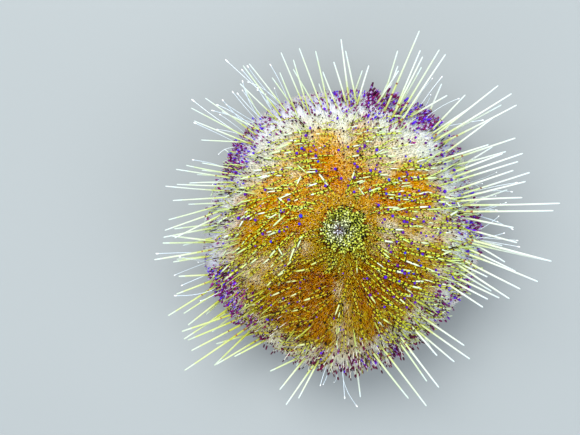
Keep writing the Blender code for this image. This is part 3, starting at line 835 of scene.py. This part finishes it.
def bulbs(name, count, seed):
    """Round violet-blue sacs on short stalks, scattered over the orange rays."""
    rng = np.random.default_rng(seed)
    p, a = spread(count * 4, 12, 62, seed)
    gap = np.min([np.abs(around(a, ray[0])) for ray in PALE_RAYS], 0)
    near = 30 * np.exp(-(((p - 24) / 18) ** 2)) + 26 * np.exp(-((around(a, 30) / 60) ** 2)) - 30 * np.exp(-((around(a, 268) / 62) ** 2))
    near = near - 30 * np.exp(-((around(a, 76) / 22) ** 2)) * smooth(p, 26, 38)
    keep = np.argsort(-(gap + near + rng.uniform(0, 40, len(a))))[:count]
    p, a = p[keep], a[keep]
    t, n = lie(p, a, rng.normal(0, 40, count))
    way = unit(n + 0.35 * t * rng.random((count, 1)))
    bulb = 0.00080 * np.exp(rng.normal(0, 0.16, count))
    size = depth(p) + rng.uniform(0.0004, 0.0022, count) + bulb
    turn = np.linspace(0, math.pi, 9)
    ball = size[:, None] + bulb[:, None] * (0 - np.cos(turn))[None, 1:] - bulb[:, None]
    lengths = np.concatenate([np.zeros((count, 1)), (size - bulb * 1.98)[:, None], ball], 1)
    radii = np.concatenate([np.full((count, 2), 0.00022), bulb[:, None] * np.sin(turn)[None, 1:]], 1)
    pick = rng.random(count)
    # The sacs are blue on top and dark maroon round the sides: partly their own violet-blue and maroon, partly a
    # painted highlight on top and painted shade at the sides.
    blue = mix(lin(62, 8, 176), lin(80, 2, 96), rng.random(count) ** 1.2)
    blue = mix(blue, lin(36, 36, 190), (pick < 0.12).astype(float))
    edge = mix(lin(84, 0, 66), lin(50, 0, 86), rng.random(count))
    stalk = lin(214, 170, 90) * np.ones((count, 1))
    colours = np.stack([stalk, stalk] + [edge] * 4 + [mix(edge, blue, np.full(count, 0.6))] + [blue] * 3, 1)
    path = straight(p, a, way, lengths, depth(p))
    return sweep(name, path, radii, colours, 8, (p, a), M_BEAD)


# Rim tufts: azimuth, half spread, how many, how far the longest reach past the coat
TUFTS = (
    (4, 6.5, 40, 0.0062), (57, 7.0, 46, 0.0062), (69, 5.0, 14, 0.0045), (79, 6.5, 40, 0.0100),
    (92, 5.0, 28, 0.0040), (112, 5.0, 10, 0.0030), (125, 4.0, 10, 0.0030), (134, 3.5, 18, 0.0030),
    (142, 4.0, 26, 0.0036), (150, 5.0, 46, 0.0044), (176, 4.0, 10, 0.0030), (202, 6.0, 44, 0.0056),
    (212, 6.5, 44, 0.0046), (222, 5.0, 16, 0.0040), (236, 5.0, 12, 0.0040), (256, 5.0, 10, 0.0040),
    (266, 5.0, 16, 0.0040), (278, 6.0, 26, 0.0048), (292, 3.2, 24, 0.0058), (304, 5.0, 8, 0.0030),
    (318, 6.0, 20, 0.0030), (334, 5.0, 30, 0.0036), (20, 5.0, 12, 0.0030), (36, 5.0, 14, 0.0030),
)


def tufts(name, seed):
    """Thick spines like strings of dark beads, in clumps round the rim."""
    rng = np.random.default_rng(seed)
    p, a, past = [], [], []
    for middle, half, count, reach in TUFTS:
        within = 10 * np.exp(-((around(middle, 207) / 14) ** 2))
        p.append(np.clip(rng.normal(70 - within, 7 + 0.3 * within, count), 50, 90))
        a.append(middle + rng.uniform(-1, 1, count) * half)
        past.append(reach * rng.uniform(0.25, 1.0, count) ** 1.3)
    p, a, past = map(np.concatenate, (p, a, past))
    count = len(p)
    t, n = lie(p, a, rng.normal(0, 10, count))
    way = unit(n * rng.uniform(0.5, 1.0, (count, 1)) + t * rng.uniform(0.5, 1.0, (count, 1)))
    size = depth(p) * 1.05 + past
    bands = 7
    dark = np.arange(bands)[None] % 2 == rng.integers(0, 2, count)[:, None]
    wide = np.where(dark, 1.35, 0.62) * np.exp(rng.normal(0, 0.1, (count, bands)))
    edges = np.concatenate([np.zeros((count, 1)), np.cumsum(wide, 1)], 1)
    edges = edges / edges[:, -1:]
    maroon = mix(lin(118, 0, 80), lin(60, 0, 50), rng.random(count))
    violet = mix(maroon, lin(92, 8, 196), (rng.random(count) > 0.78 + 0.10 * (np.cos(np.radians(a)) < -0.3)).astype(float))
    pale = mix(lin(186, 166, 210), lin(120, 84, 164), rng.random(count))
    tones = np.where(dark[..., None], violet[:, None, :], pale[:, None, :])
    at, colours = banded(edges, tones)
    radii = 0.00062 * np.exp(rng.normal(0, 0.16, (count, 1))) * np.where(np.repeat(dark, 2, axis=1), 1.12, 0.82)
    radii = radii * np.interp(at, [0, 0.85, 1.0], [0.8, 1.0, 0.6])
    path = straight(p, a, way, at * size[:, None], depth(p))
    return sweep(name, path, radii, colours, 5, (p, a), M_BEAD, pointed=False)


# ---------------------------------------------------------------- disc at the top
def disc(name, seed):
    """Short beaded spines packed over the disc, all leaning outwards from a point a little to one side."""
    rng = np.random.default_rng(seed)
    count = 350
    r = 0.0098 * ((np.arange(count) + 0.5) / count) ** 0.60
    turn = np.arange(count) * 2.399963 + rng.normal(0, 0.1, count)
    x, y = r * np.cos(turn), r * np.sin(turn)
    p, a = polar_of(x, y)
    a = a % 360
    n = norm(p, a)
    out = np.degrees(np.arctan2(y + 0.0008, x + 0.0022)) + rng.normal(0, 14, count)
    far = np.hypot(x + 0.0022, y + 0.0008)
    t = np.stack([np.cos(np.radians(out)), np.sin(np.radians(out)), np.zeros(count)], -1)
    t = unit(t - n * (t * n).sum(-1, keepdims=True))
    lean = np.interp(far, [0, 0.0025, 0.006, 0.014], [0.1, 0.5, 1.0, 1.6]) * np.exp(rng.normal(0, 0.2, count))
    way = unit(n + t * lean[:, None])
    size = np.interp(far, [0, 0.003, 0.012], [0.0040, 0.0046, 0.0058]) * np.exp(rng.normal(0, 0.12, count))
    bands = 6
    dark = np.arange(bands)[None] % 2 == rng.integers(0, 2, count)[:, None]
    wide = np.where(dark, 0.85, 1.0) * np.exp(rng.normal(0, 0.15, (count, bands)))
    edges = np.concatenate([np.zeros((count, 1)), np.cumsum(wide, 1)], 1)
    edges = edges / edges[:, -1:]
    inner = smooth(far + rng.normal(0, 0.0012, count), 0.0062, 0.0028)
    yellow = mix(lin(154, 156, 14), lin(200, 212, 96), rng.random(count))
    tone = mix(yellow, lin(224, 232, 184), 0.92 * inner)
    tone = mix(tone, lin(216, 214, 226), smooth(far, 0.0026, 0.0012))
    black = lin(6, 4, 0) * np.ones((count, 1))
    tones = np.where(dark[..., None], black[:, None, :], tone[:, None, :])
    at, colours = banded(edges, tones)
    radii = np.interp(far, [0, 0.003, 0.008], [0.00027, 0.00036, 0.00044])[:, None] * np.exp(rng.normal(0, 0.12, (count, 1)))
    radii = radii * np.where(np.repeat(dark, 2, axis=1), 1.0, 1.08)
    path = straight(p, a, way, at * size[:, None], depth(p))
    return sweep(name, path, radii, colours, 5, (p, a), M_SPINE, pointed=False)


def collar(name, count, seed):
    """Banded spines that fan out from under the disc's edge and merge it into the coat."""
    rng = np.random.default_rng(seed)
    turn = np.arange(count * 3) * 2.399963 + rng.normal(0, 0.2, count * 3)
    turn = turn[np.argsort(np.cos(turn + 0.9) + rng.normal(0, 0.9, count * 3))[-count:]]
    r = 0.0085 + 0.0100 * rng.random(count)
    p, _ = polar_of(r * np.cos(turn), r * np.sin(turn))
    a = np.degrees(turn) % 360
    t, n = lie(p, a, rng.normal(0, 24, count))
    bands = 9
    size = np.clip(rng.normal(0.0072, 0.0018, count), 0.004, 0.012)
    dark = np.arange(bands)[None] % 2 == rng.integers(0, 2, count)[:, None]
    wide = np.where(dark, 0.75, 1.0) * np.exp(rng.normal(0, 0.2, (count, bands)))
    edges = np.concatenate([np.zeros((count, 1)), np.cumsum(wide, 1)], 1)
    edges = edges / edges[:, -1:]
    yellow = mix(lin(150, 144, 10), lin(176, 184, 70), rng.random(count))
    black = lin(12, 6, 0) * np.ones((count, 1))
    tones = np.where(dark[..., None], black[:, None, :], yellow[:, None, :])
    at, colours = banded(edges, tones)
    rise = np.interp(at, [0, 0.35, 0.7, 1.0], [0, 0.6, 0.95, 1.0])
    over = rng.uniform(-0.0006, 0.0018, count)[:, None]
    heights = -depth(p)[:, None] * (1 - rise) + over * rise
    path = along_surface(p, a, t, at * size[:, None], heights)
    radii = 0.00036 * np.exp(rng.normal(0, 0.15, (count, 1))) * np.interp(at, [0, 0.5, 0.93, 1.0], [1.0, 1.0, 0.95, 0.55])
    return sweep(name, path, radii, colours, 4, (p, a), M_SPINE, pointed=False)


# ---------------------------------------------------------------- long spines, tube feet, underside
def long_white(name, spines, seed):
    """The long spines: white and blunt, yellow towards the root, with a few red-brown joints."""
    rng = np.random.default_rng(seed)
    count = len(spines)
    start = np.array([s["from"][:] for s in spines]) + AXIS
    end = np.array([s["to"][:] for s in spines]) + AXIS
    way = unit(end - start)
    start = start - way * 0.0055
    full = np.linalg.norm(end - start, axis=1)
    bands = 11
    wide = np.tile([5.0, 0.55, 3.2, 0.5, 3.2, 0.45, 2.6, 3.0, 5.0, 6.0, 5.0], (count, 1)) * np.exp(rng.normal(0, 0.12, (count, bands)))
    edges = np.concatenate([np.zeros((count, 1)), np.cumsum(wide, 1)], 1)
    edges = edges / edges[:, -1:]
    root = mix(lin(142, 136, 24), lin(160, 164, 76), rng.random(count))
    near = mix(lin(160, 170, 80), lin(176, 190, 124), rng.random(count))
    far = mix(lin(180, 196, 160), lin(196, 206, 196), rng.random(count))
    azimuth = np.array([s["azimuth"] for s in spines])
    yellow = np.exp(-((around(azimuth, 222) / 32) ** 4))
    white = np.exp(-((around(azimuth, 8) / 62) ** 4))
    root = mix(root, lin(176, 184, 118), 0.6 * white)
    near = mix(near, lin(192, 204, 166), 0.6 * white)
    far = mix(far, lin(208, 214, 216), 0.5 * white)
    root = mix(root, lin(160, 146, 8), 0.8 * yellow)
    near = mix(near, lin(160, 166, 20), 0.8 * yellow)
    far = mix(far, lin(180, 190, 90), 0.6 * yellow)
    joint = mix(lin(96, 30, 10), lin(140, 76, 30), rng.random(count))
    tip = mix(far, lin(190, 206, 214), np.full(count, 0.5))
    some = (rng.random((count, 3)) < np.array([0.45, 0.25, 0.12]) * (1 + yellow - 0.5 * white)[:, None])[..., None]
    tones = np.stack([
        root, np.where(some[:, 0], joint, root), near, np.where(some[:, 1], joint, near), near,
        np.where(some[:, 2], joint, mix(near, far, np.full(count, 0.5))), mix(near, far, np.full(count, 0.5)),
        mix(near, far, np.full(count, 0.8)), far, far, tip,
    ], 1)
    at, colours = banded(edges, tones)
    at = np.concatenate([at[:, :-1], np.tile([[0.985, 1.0]], (count, 1))], 1)
    at = np.sort(at, 1)
    colours = np.concatenate([colours, colours[:, -1:]], 1)
    lengths = at * full[:, None]
    bow = unit(np.cross(way, rng.normal(0, 1, (count, 3)))) * (full * rng.normal(0, 0.006, count))[:, None]
    path = start[:, None, :] + way[:, None, :] * lengths[..., None] + bow[:, None, :] * np.sin(at * math.pi)[..., None]
    radii = np.interp(at, [0, 0.3, 0.97, 0.985, 1.0], [0.00064, 0.00062, 0.00045, 0.00042, 0.00024])
    radii = radii * (1 - 0.28 * np.exp(-((around(azimuth, 135) / 42) ** 4)))[:, None]
    az = azimuth
    p = np.array([80.0 if s["from"].z > WIDEST_Z else 100.0 for s in spines])
    return sweep(name, path, radii, colours, 8, (p, az), M_LONG, pointed=False)


def outward(name, count, seed):
    """Slim pale-green spines that lie over the coat's outer part and run out towards the rim."""
    rng = np.random.default_rng(seed)
    p, a = spread(count * 2, 36, 68, seed)
    wanted = 0.25 + 0.75 * np.exp(-((around(a, 12) / 42) ** 4)) + 0.30 * np.exp(-((around(a, 170) / 34) ** 4))
    wanted = wanted + 0.5 * np.exp(-((around(a, 222) / 26) ** 4)) + 0.35 * np.exp(-((around(a, 312) / 26) ** 4))
    keep = rng.random(len(a)) < wanted * 0.62
    p, a = p[keep], a[keep]
    count = len(p)
    t, n = lie(p, a, np.zeros(count), seed)
    out = np.stack([np.cos(np.radians(a)), np.sin(np.radians(a)), np.zeros(count)], -1)
    out = unit(out - n * (out * n).sum(-1, keepdims=True))
    way = unit(t * rng.uniform(0.1, 0.9, (count, 1)) + out + rng.normal(0, 0.16, (count, 3)))
    way = unit(way - n * (way * n).sum(-1, keepdims=True))
    x = np.hypot(*(surf(p, a) - AXIS)[:, :2].T)
    room = (COAT_RADIUS * (1 + swells(a)) - x) * 1.25
    size = np.minimum(rng.uniform(0.011, 0.023, count), np.maximum(room, 0.007))
    at = np.array([0, 0.12, 0.30, 0.33, 0.55, 0.58, 0.8, 0.97, 1.0])[None] * np.ones((count, 1))
    rise = np.interp(at, [0, 0.2, 0.45, 1.0], [0, 0.6, 0.95, 1.0])
    over = rng.uniform(0.0004, 0.0030, count)[:, None]
    path = along_surface(p, a, way, at * size[:, None], -depth(p)[:, None] * (1 - rise) + over * rise)
    yellow = np.exp(-((around(a, 225) / 34) ** 4)) * 0.9 + np.exp(-((around(a, 300) / 26) ** 4)) * 0.6
    lime = mix(lin(160, 178, 76), lin(178, 196, 120), rng.random(count))
    lime = mix(lime, lin(150, 150, 4), np.clip(yellow, 0, 1))
    white = mix(mix(lin(176, 196, 150), lin(198, 210, 196), rng.random(count)), lin(164, 170, 40), np.clip(yellow, 0, 1) * 0.8)
    joint = mix(lime, lin(40, 24, 4), (rng.random(count) < 0.45).astype(float))
    # Painted shade: the root of each spine, down at the skin under the coat, is darker than the rest.
    colours = np.stack([lime * 0.7, lime, lime, joint, joint, lime, mix(lime, white, np.full(count, 0.6)), white, white], 1)
    radii = rng.uniform(0.00024, 0.00036, (count, 1)) * np.array([1.1, 1.1, 1.05, 1.15, 1.15, 1.0, 0.95, 0.85, 0.5])[None]
    return sweep(name, path, radii, colours, 5, (p, a), M_SPINE, pointed=False)


def tube_feet(name, seed):
    """Thin clear tube feet with a pale sucker, reaching out between the spines."""
    rng = np.random.default_rng(seed)
    places = [(m + rng.normal(0, 9), rng.uniform(72, 92)) for m in np.repeat([126.0, 140.0, 54.0, 18.0, -2.0, 198.0, 270.0], [14, 10, 6, 9, 8, 7, 5])]
    a = np.array([x for x, _ in places])
    p = np.array([y for _, y in places])
    count = len(a)
    t, n = lie(p, a, rng.normal(0, 14, count))
    rise = rng.uniform(-0.1, 0.5, (count, 1))
    way = unit(n + 0.3 * t * rng.random((count, 1)) + rise * np.array([[0, 0, 1.0]]) + rng.normal(0, 0.15, (count, 3)))
    size = rng.uniform(0.016, 0.034, count)
    size = np.where((a > 110) & (a < 155), size * 1.15, size)
    at = np.concatenate([np.linspace(0, 0.955, 9), [0.962, 0.985, 1.0]])
    sag = rng.normal(0, 1, (count, 3)) * (size * 0.18)[:, None]
    path = straight(p, a, way, size[:, None] * at, depth(p), sag)
    thin = np.array([1.2, 1, 0.9, 0.85, 0.8, 0.8, 0.8, 0.8, 0.85, 1.4, 1.7, 1.0])[None]
    radii = 0.00022 * thin * np.exp(rng.normal(0, 0.1, (count, 1)))
    shaft = mix(lin(196, 214, 226), lin(226, 236, 240), rng.random(count))
    colours = np.stack([shaft] * 9 + [lin(244, 248, 250) * np.ones((count, 1))] * 3, 1)
    return sweep(name, path, radii, colours, 5, (p, a), M_CLEAR, pointed=False)


def walkers(name, spines, seed):
    """Spines of the underside, each ending in a pale flared hoof that stands on the floor."""
    rng = np.random.default_rng(seed)
    count = len(spines)
    start = np.array([s["from"][:] for s in spines]) + AXIS
    end = np.array([s["to"][:] for s in spines]) + AXIS
    way = unit(end - start)
    start = start - way * 0.0035
    neck = end - way * 0.0034
    at = np.array([0, 0.2, 0.23, 0.45, 0.48, 0.7, 0.73, 1.0])
    path = start[:, None] + (neck - start)[:, None] * at[None, :, None]
    path = np.concatenate([path, (end - way * 0.0016)[:, None], end[:, None]], 1)
    radii = np.tile([0.00095, 0.00092, 0.0009, 0.00085, 0.00083, 0.0008, 0.0008, 0.0007, 0.00105, 0.00118], (count, 1))
    tan = mix(lin(196, 150, 84), lin(214, 186, 120), rng.random(count))
    red = mix(lin(140, 62, 30), lin(110, 40, 30), rng.random(count))
    hoof = lin(238, 236, 226) * np.ones((count, 1))
    colours = np.stack([tan, tan, red, red, tan, tan, red, tan, hoof, hoof], 1)
    az = np.array([s["azimuth"] for s in spines])
    p = np.array([110.0 + 10 * (s["from"].xy.length < 0.05) + 15 * (s["from"].xy.length < 0.035) for s in spines])
    obj = sweep(name, path, radii, colours, 8, (p, az), M_LONG, pointed=False)
    co = np.empty(len(obj.data.vertices) * 3, np.float32)
    obj.data.vertices.foreach_get("co", co)
    co = co.reshape(-1, 3)
    last = np.arange(len(co)).reshape(count, -1)[:, -8:].ravel()
    co[last, 2] = 0.0
    np.clip(co[:, 2], 0.0, None, out=co[:, 2])
    obj.data.vertices.foreach_set("co", co.ravel())
    obj.data.update()
    return obj


def under_coat(name, count, seed):
    """Short spines of the underside, brown and cream."""
    rng = np.random.default_rng(seed)
    p, a = spread(count, 100, 168, seed)
    n = norm(p, a)
    out = np.stack([np.cos(np.radians(a)), np.sin(np.radians(a)), np.zeros(count)], -1)
    t = unit(out - n * (out * n).sum(-1, keepdims=True))
    way = unit(n + t * rng.normal(0.2, 0.4, (count, 1)) + rng.normal(0, 0.25, (count, 3)))
    size = depth(p) + np.interp(p, [100, 130, 150, 168], [0.0016, 0.0022, 0.0028, 0.0012]) * np.exp(rng.normal(0, 0.25, count))
    at = np.array([0, 0.4, 0.44, 0.7, 0.74, 1.0])
    path = straight(p, a, way, size[:, None] * at, depth(p))
    path[..., 2] = np.maximum(path[..., 2], 0.0006)
    radii = 0.00034 * np.array([1, 0.9, 0.9, 0.8, 0.8, 0.4])[None] * np.exp(rng.normal(0, 0.15, (count, 1)))
    cream = shade(lin(214, 190, 140) * np.ones((count, 1)), rng, 0.15)
    brown = shade(lin(130, 62, 34) * np.ones((count, 1)), rng, 0.3)
    flip = (rng.random(count) < 0.5)[:, None]
    one, two = np.where(flip, cream, brown), np.where(flip, brown, cream)
    # Painted shade: each spine is half as bright at its root, next to the skin.
    colours = np.stack([one * 0.5, one, two, two, one, one], 1)
    return sweep(name, path, radii, colours, 3, (p, a), M_FUZZ)


def teeth(name):
    """Five ivory teeth that meet in the closed mouth."""
    low = surface(180.0, 0.0).z - SEAM
    paths, radii = [], []
    for i in range(5):
        t = math.radians(FIRST_RAY + 72 * i + 36)
        out = np.array([math.cos(t), math.sin(t), 0])
        rows = [(0.0021, 0.0), (0.0021, -0.0012), (0.0017, -0.0024), (0.0011, -0.0034), (0.00055, -0.0041)]
        paths.append([AXIS + out * r + np.array([0, 0, low + z]) for r, z in rows])
        radii.append([0.00085, 0.00085, 0.00078, 0.0006, 0.00025])
    ivory = np.stack([lin(206, 196, 168), lin(222, 214, 190), lin(236, 230, 212), lin(244, 240, 228), lin(250, 248, 240)])
    return sweep(name, np.array(paths), np.array(radii), np.tile(ivory, (5, 1, 1)), 6, (np.full(5, 176.0), np.arange(5) * 72.0), M_LONG, pointed=False)


# ---------------------------------------------------------------- put together
skin = build_skin()
flesh = [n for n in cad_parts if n.startswith(("ambulacrum", "interambulacrum", "apical", "peristome"))]
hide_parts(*flesh)

walk = walking_spines()
longs = long_spines(walk)

pieces = {
    "coat_fine_a": (fine_coat("coat_fine_a", 33000, 7, 80, 31, 1.0, 30, 0.00026, 0.08), "orange_coat"),
    "coat_fine_b": (fine_coat("coat_fine_b", 33000, 7, 80, 32, 0.95, 26, 0.00026, 0.08), "orange_coat"),
    "coat_fine_c": (fine_coat("coat_fine_c", 33000, 7, 80, 30, 0.90, 22, 0.00026, 0.08), "orange_coat"),
    "coat_fine_rim": (fine_coat("coat_fine_rim", 34000, 56, 106, 33, 1.10, 18, 0.00026, 0.3), "cream_coat"),
    "coat_banded": (banded_spines("coat_banded", 560, 9, 74, 34, 0.00038, 0.0146, 0.80, 4, 11), "orange_coat"),
    "coat_banded_fine": (banded_spines("coat_banded_fine", 640, 9, 76, 44, 0.00030, 0.0092, 0.25, 4, 7), "orange_coat"),
    "coat_dots": (dots("coat_dots", 4500, 35), "cream_coat"),
    "coat_rim_tips": (rim_tips("coat_rim_tips", 6400, 45), "cream_coat"),
    "coat_bulbs": (bulbs("coat_bulbs", 130, 36), "orange_coat"),
    "coat_tufts": (tufts("coat_tufts", 37), "orange_coat"),
    "disc_spines": (disc("disc_spines", 38), "disc"),
    "disc_collar": (collar("disc_collar", 54, 43), "disc"),
    "coat_outward": (outward("coat_outward", 250, 46), "cream_coat"),
    "long_spines": (long_white("long_spines", longs, 39), "cream_coat"),
    "tube_feet": (tube_feet("tube_feet", 40), "mouth_skin"),
    "walking_spines": (walkers("walking_spines", walk, 41), "cream_coat"),
    "coat_under": (under_coat("coat_under", 4500, 42), "mouth_skin"),
}
mouth = teeth("teeth")
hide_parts("mouth_teeth")


# ---------------------------------------------------------------- floor, light and camera
def stage():
    mesh = bpy.data.meshes.new("floor")
    s = 3.0
    mesh.from_pydata([(-s, -s, 0), (s, -s, 0), (s, s, 0), (-s, s, 0)], [], [(0, 1, 2, 3)])
    floor = bpy.data.objects.new("floor", mesh)
    bpy.context.scene.collection.objects.link(floor)
    mat = bpy.data.materials.new("floor")
    mat.use_nodes = True
    nt = mat.node_tree
    bsdf = nt.nodes["Principled BSDF"]
    noise = nt.nodes.new("ShaderNodeTexNoise")
    noise.inputs["Scale"].default_value = 14.0
    ramp = nt.nodes.new("ShaderNodeValToRGB")
    ramp.color_ramp.elements[0].color = (0.24, 0.265, 0.27, 1)
    ramp.color_ramp.elements[1].color = (0.28, 0.305, 0.31, 1)
    nt.links.new(noise.outputs["Fac"], ramp.inputs["Fac"])
    nt.links.new(ramp.outputs["Color"], bsdf.inputs["Base Color"])
    bsdf.inputs["Roughness"].default_value = 0.8
    mesh.materials.append(mat)


def lamp(name, place, target, size, energy, colour=(1, 1, 1)):
    light = bpy.data.lights.new(name, "AREA")
    light.shape = "DISK"
    light.size = size
    light.energy = energy
    light.color = colour
    obj = bpy.data.objects.new(name, light)
    obj.location = place
    obj.rotation_euler = (Vector(target) - Vector(place)).to_track_quat("-Z", "Y").to_euler()
    bpy.context.scene.collection.objects.link(obj)


stage()
lamp("key", (-0.20, 0.60, 1.25), (0, 0, 0.04), 0.9, 22.0, (1.0, 0.985, 0.96))
lamp("fill", (0.9, -0.3, 0.9), (0, 0, 0.04), 0.9, 7.0, (0.93, 0.96, 1.0))
lamp("front", (-0.6, -1.1, 0.5), (0, 0, 0.04), 0.9, 5.0, (0.95, 0.97, 1.0))
world = bpy.data.worlds.new("world")
world.use_nodes = True
world.node_tree.nodes["Background"].inputs["Color"].default_value = (0.86, 0.92, 1.0, 1)
world.node_tree.nodes["Background"].inputs["Strength"].default_value = 1.05
bpy.context.scene.world = world
bpy.context.scene.view_settings.view_transform = "Standard"

# The photo's frame is 580 x 435 pixels of about 0.6 mm at the widest level, with the body's middle at (347, 225).
PIXEL = 0.0006
middle = Vector((AXIS_X, AXIS_Y, WIDEST_Z))
seen_from = Vector((0.055, 0.055, 1.0)).normalized()
distance = 0.95
eye = middle + seen_from * distance
aim = middle + Vector(((290 - 347) * PIXEL, (225 - 217.5) * PIXEL, 0.0))
forward = (aim - eye).normalized()
right = forward.cross(Vector((0, 1, 0))).normalized()
upward = right.cross(forward)
camera = bpy.data.cameras.new("camera")
camera.sensor_width = 36.0
camera.lens = 36.0 * (aim - eye).length / (580 * PIXEL)
cam = bpy.data.objects.new("camera", camera)
cam.matrix_world = Matrix.Translation(eye) @ Matrix((right, upward, -forward)).transposed().to_4x4()
bpy.context.scene.collection.objects.link(cam)
bpy.context.scene.camera = cam
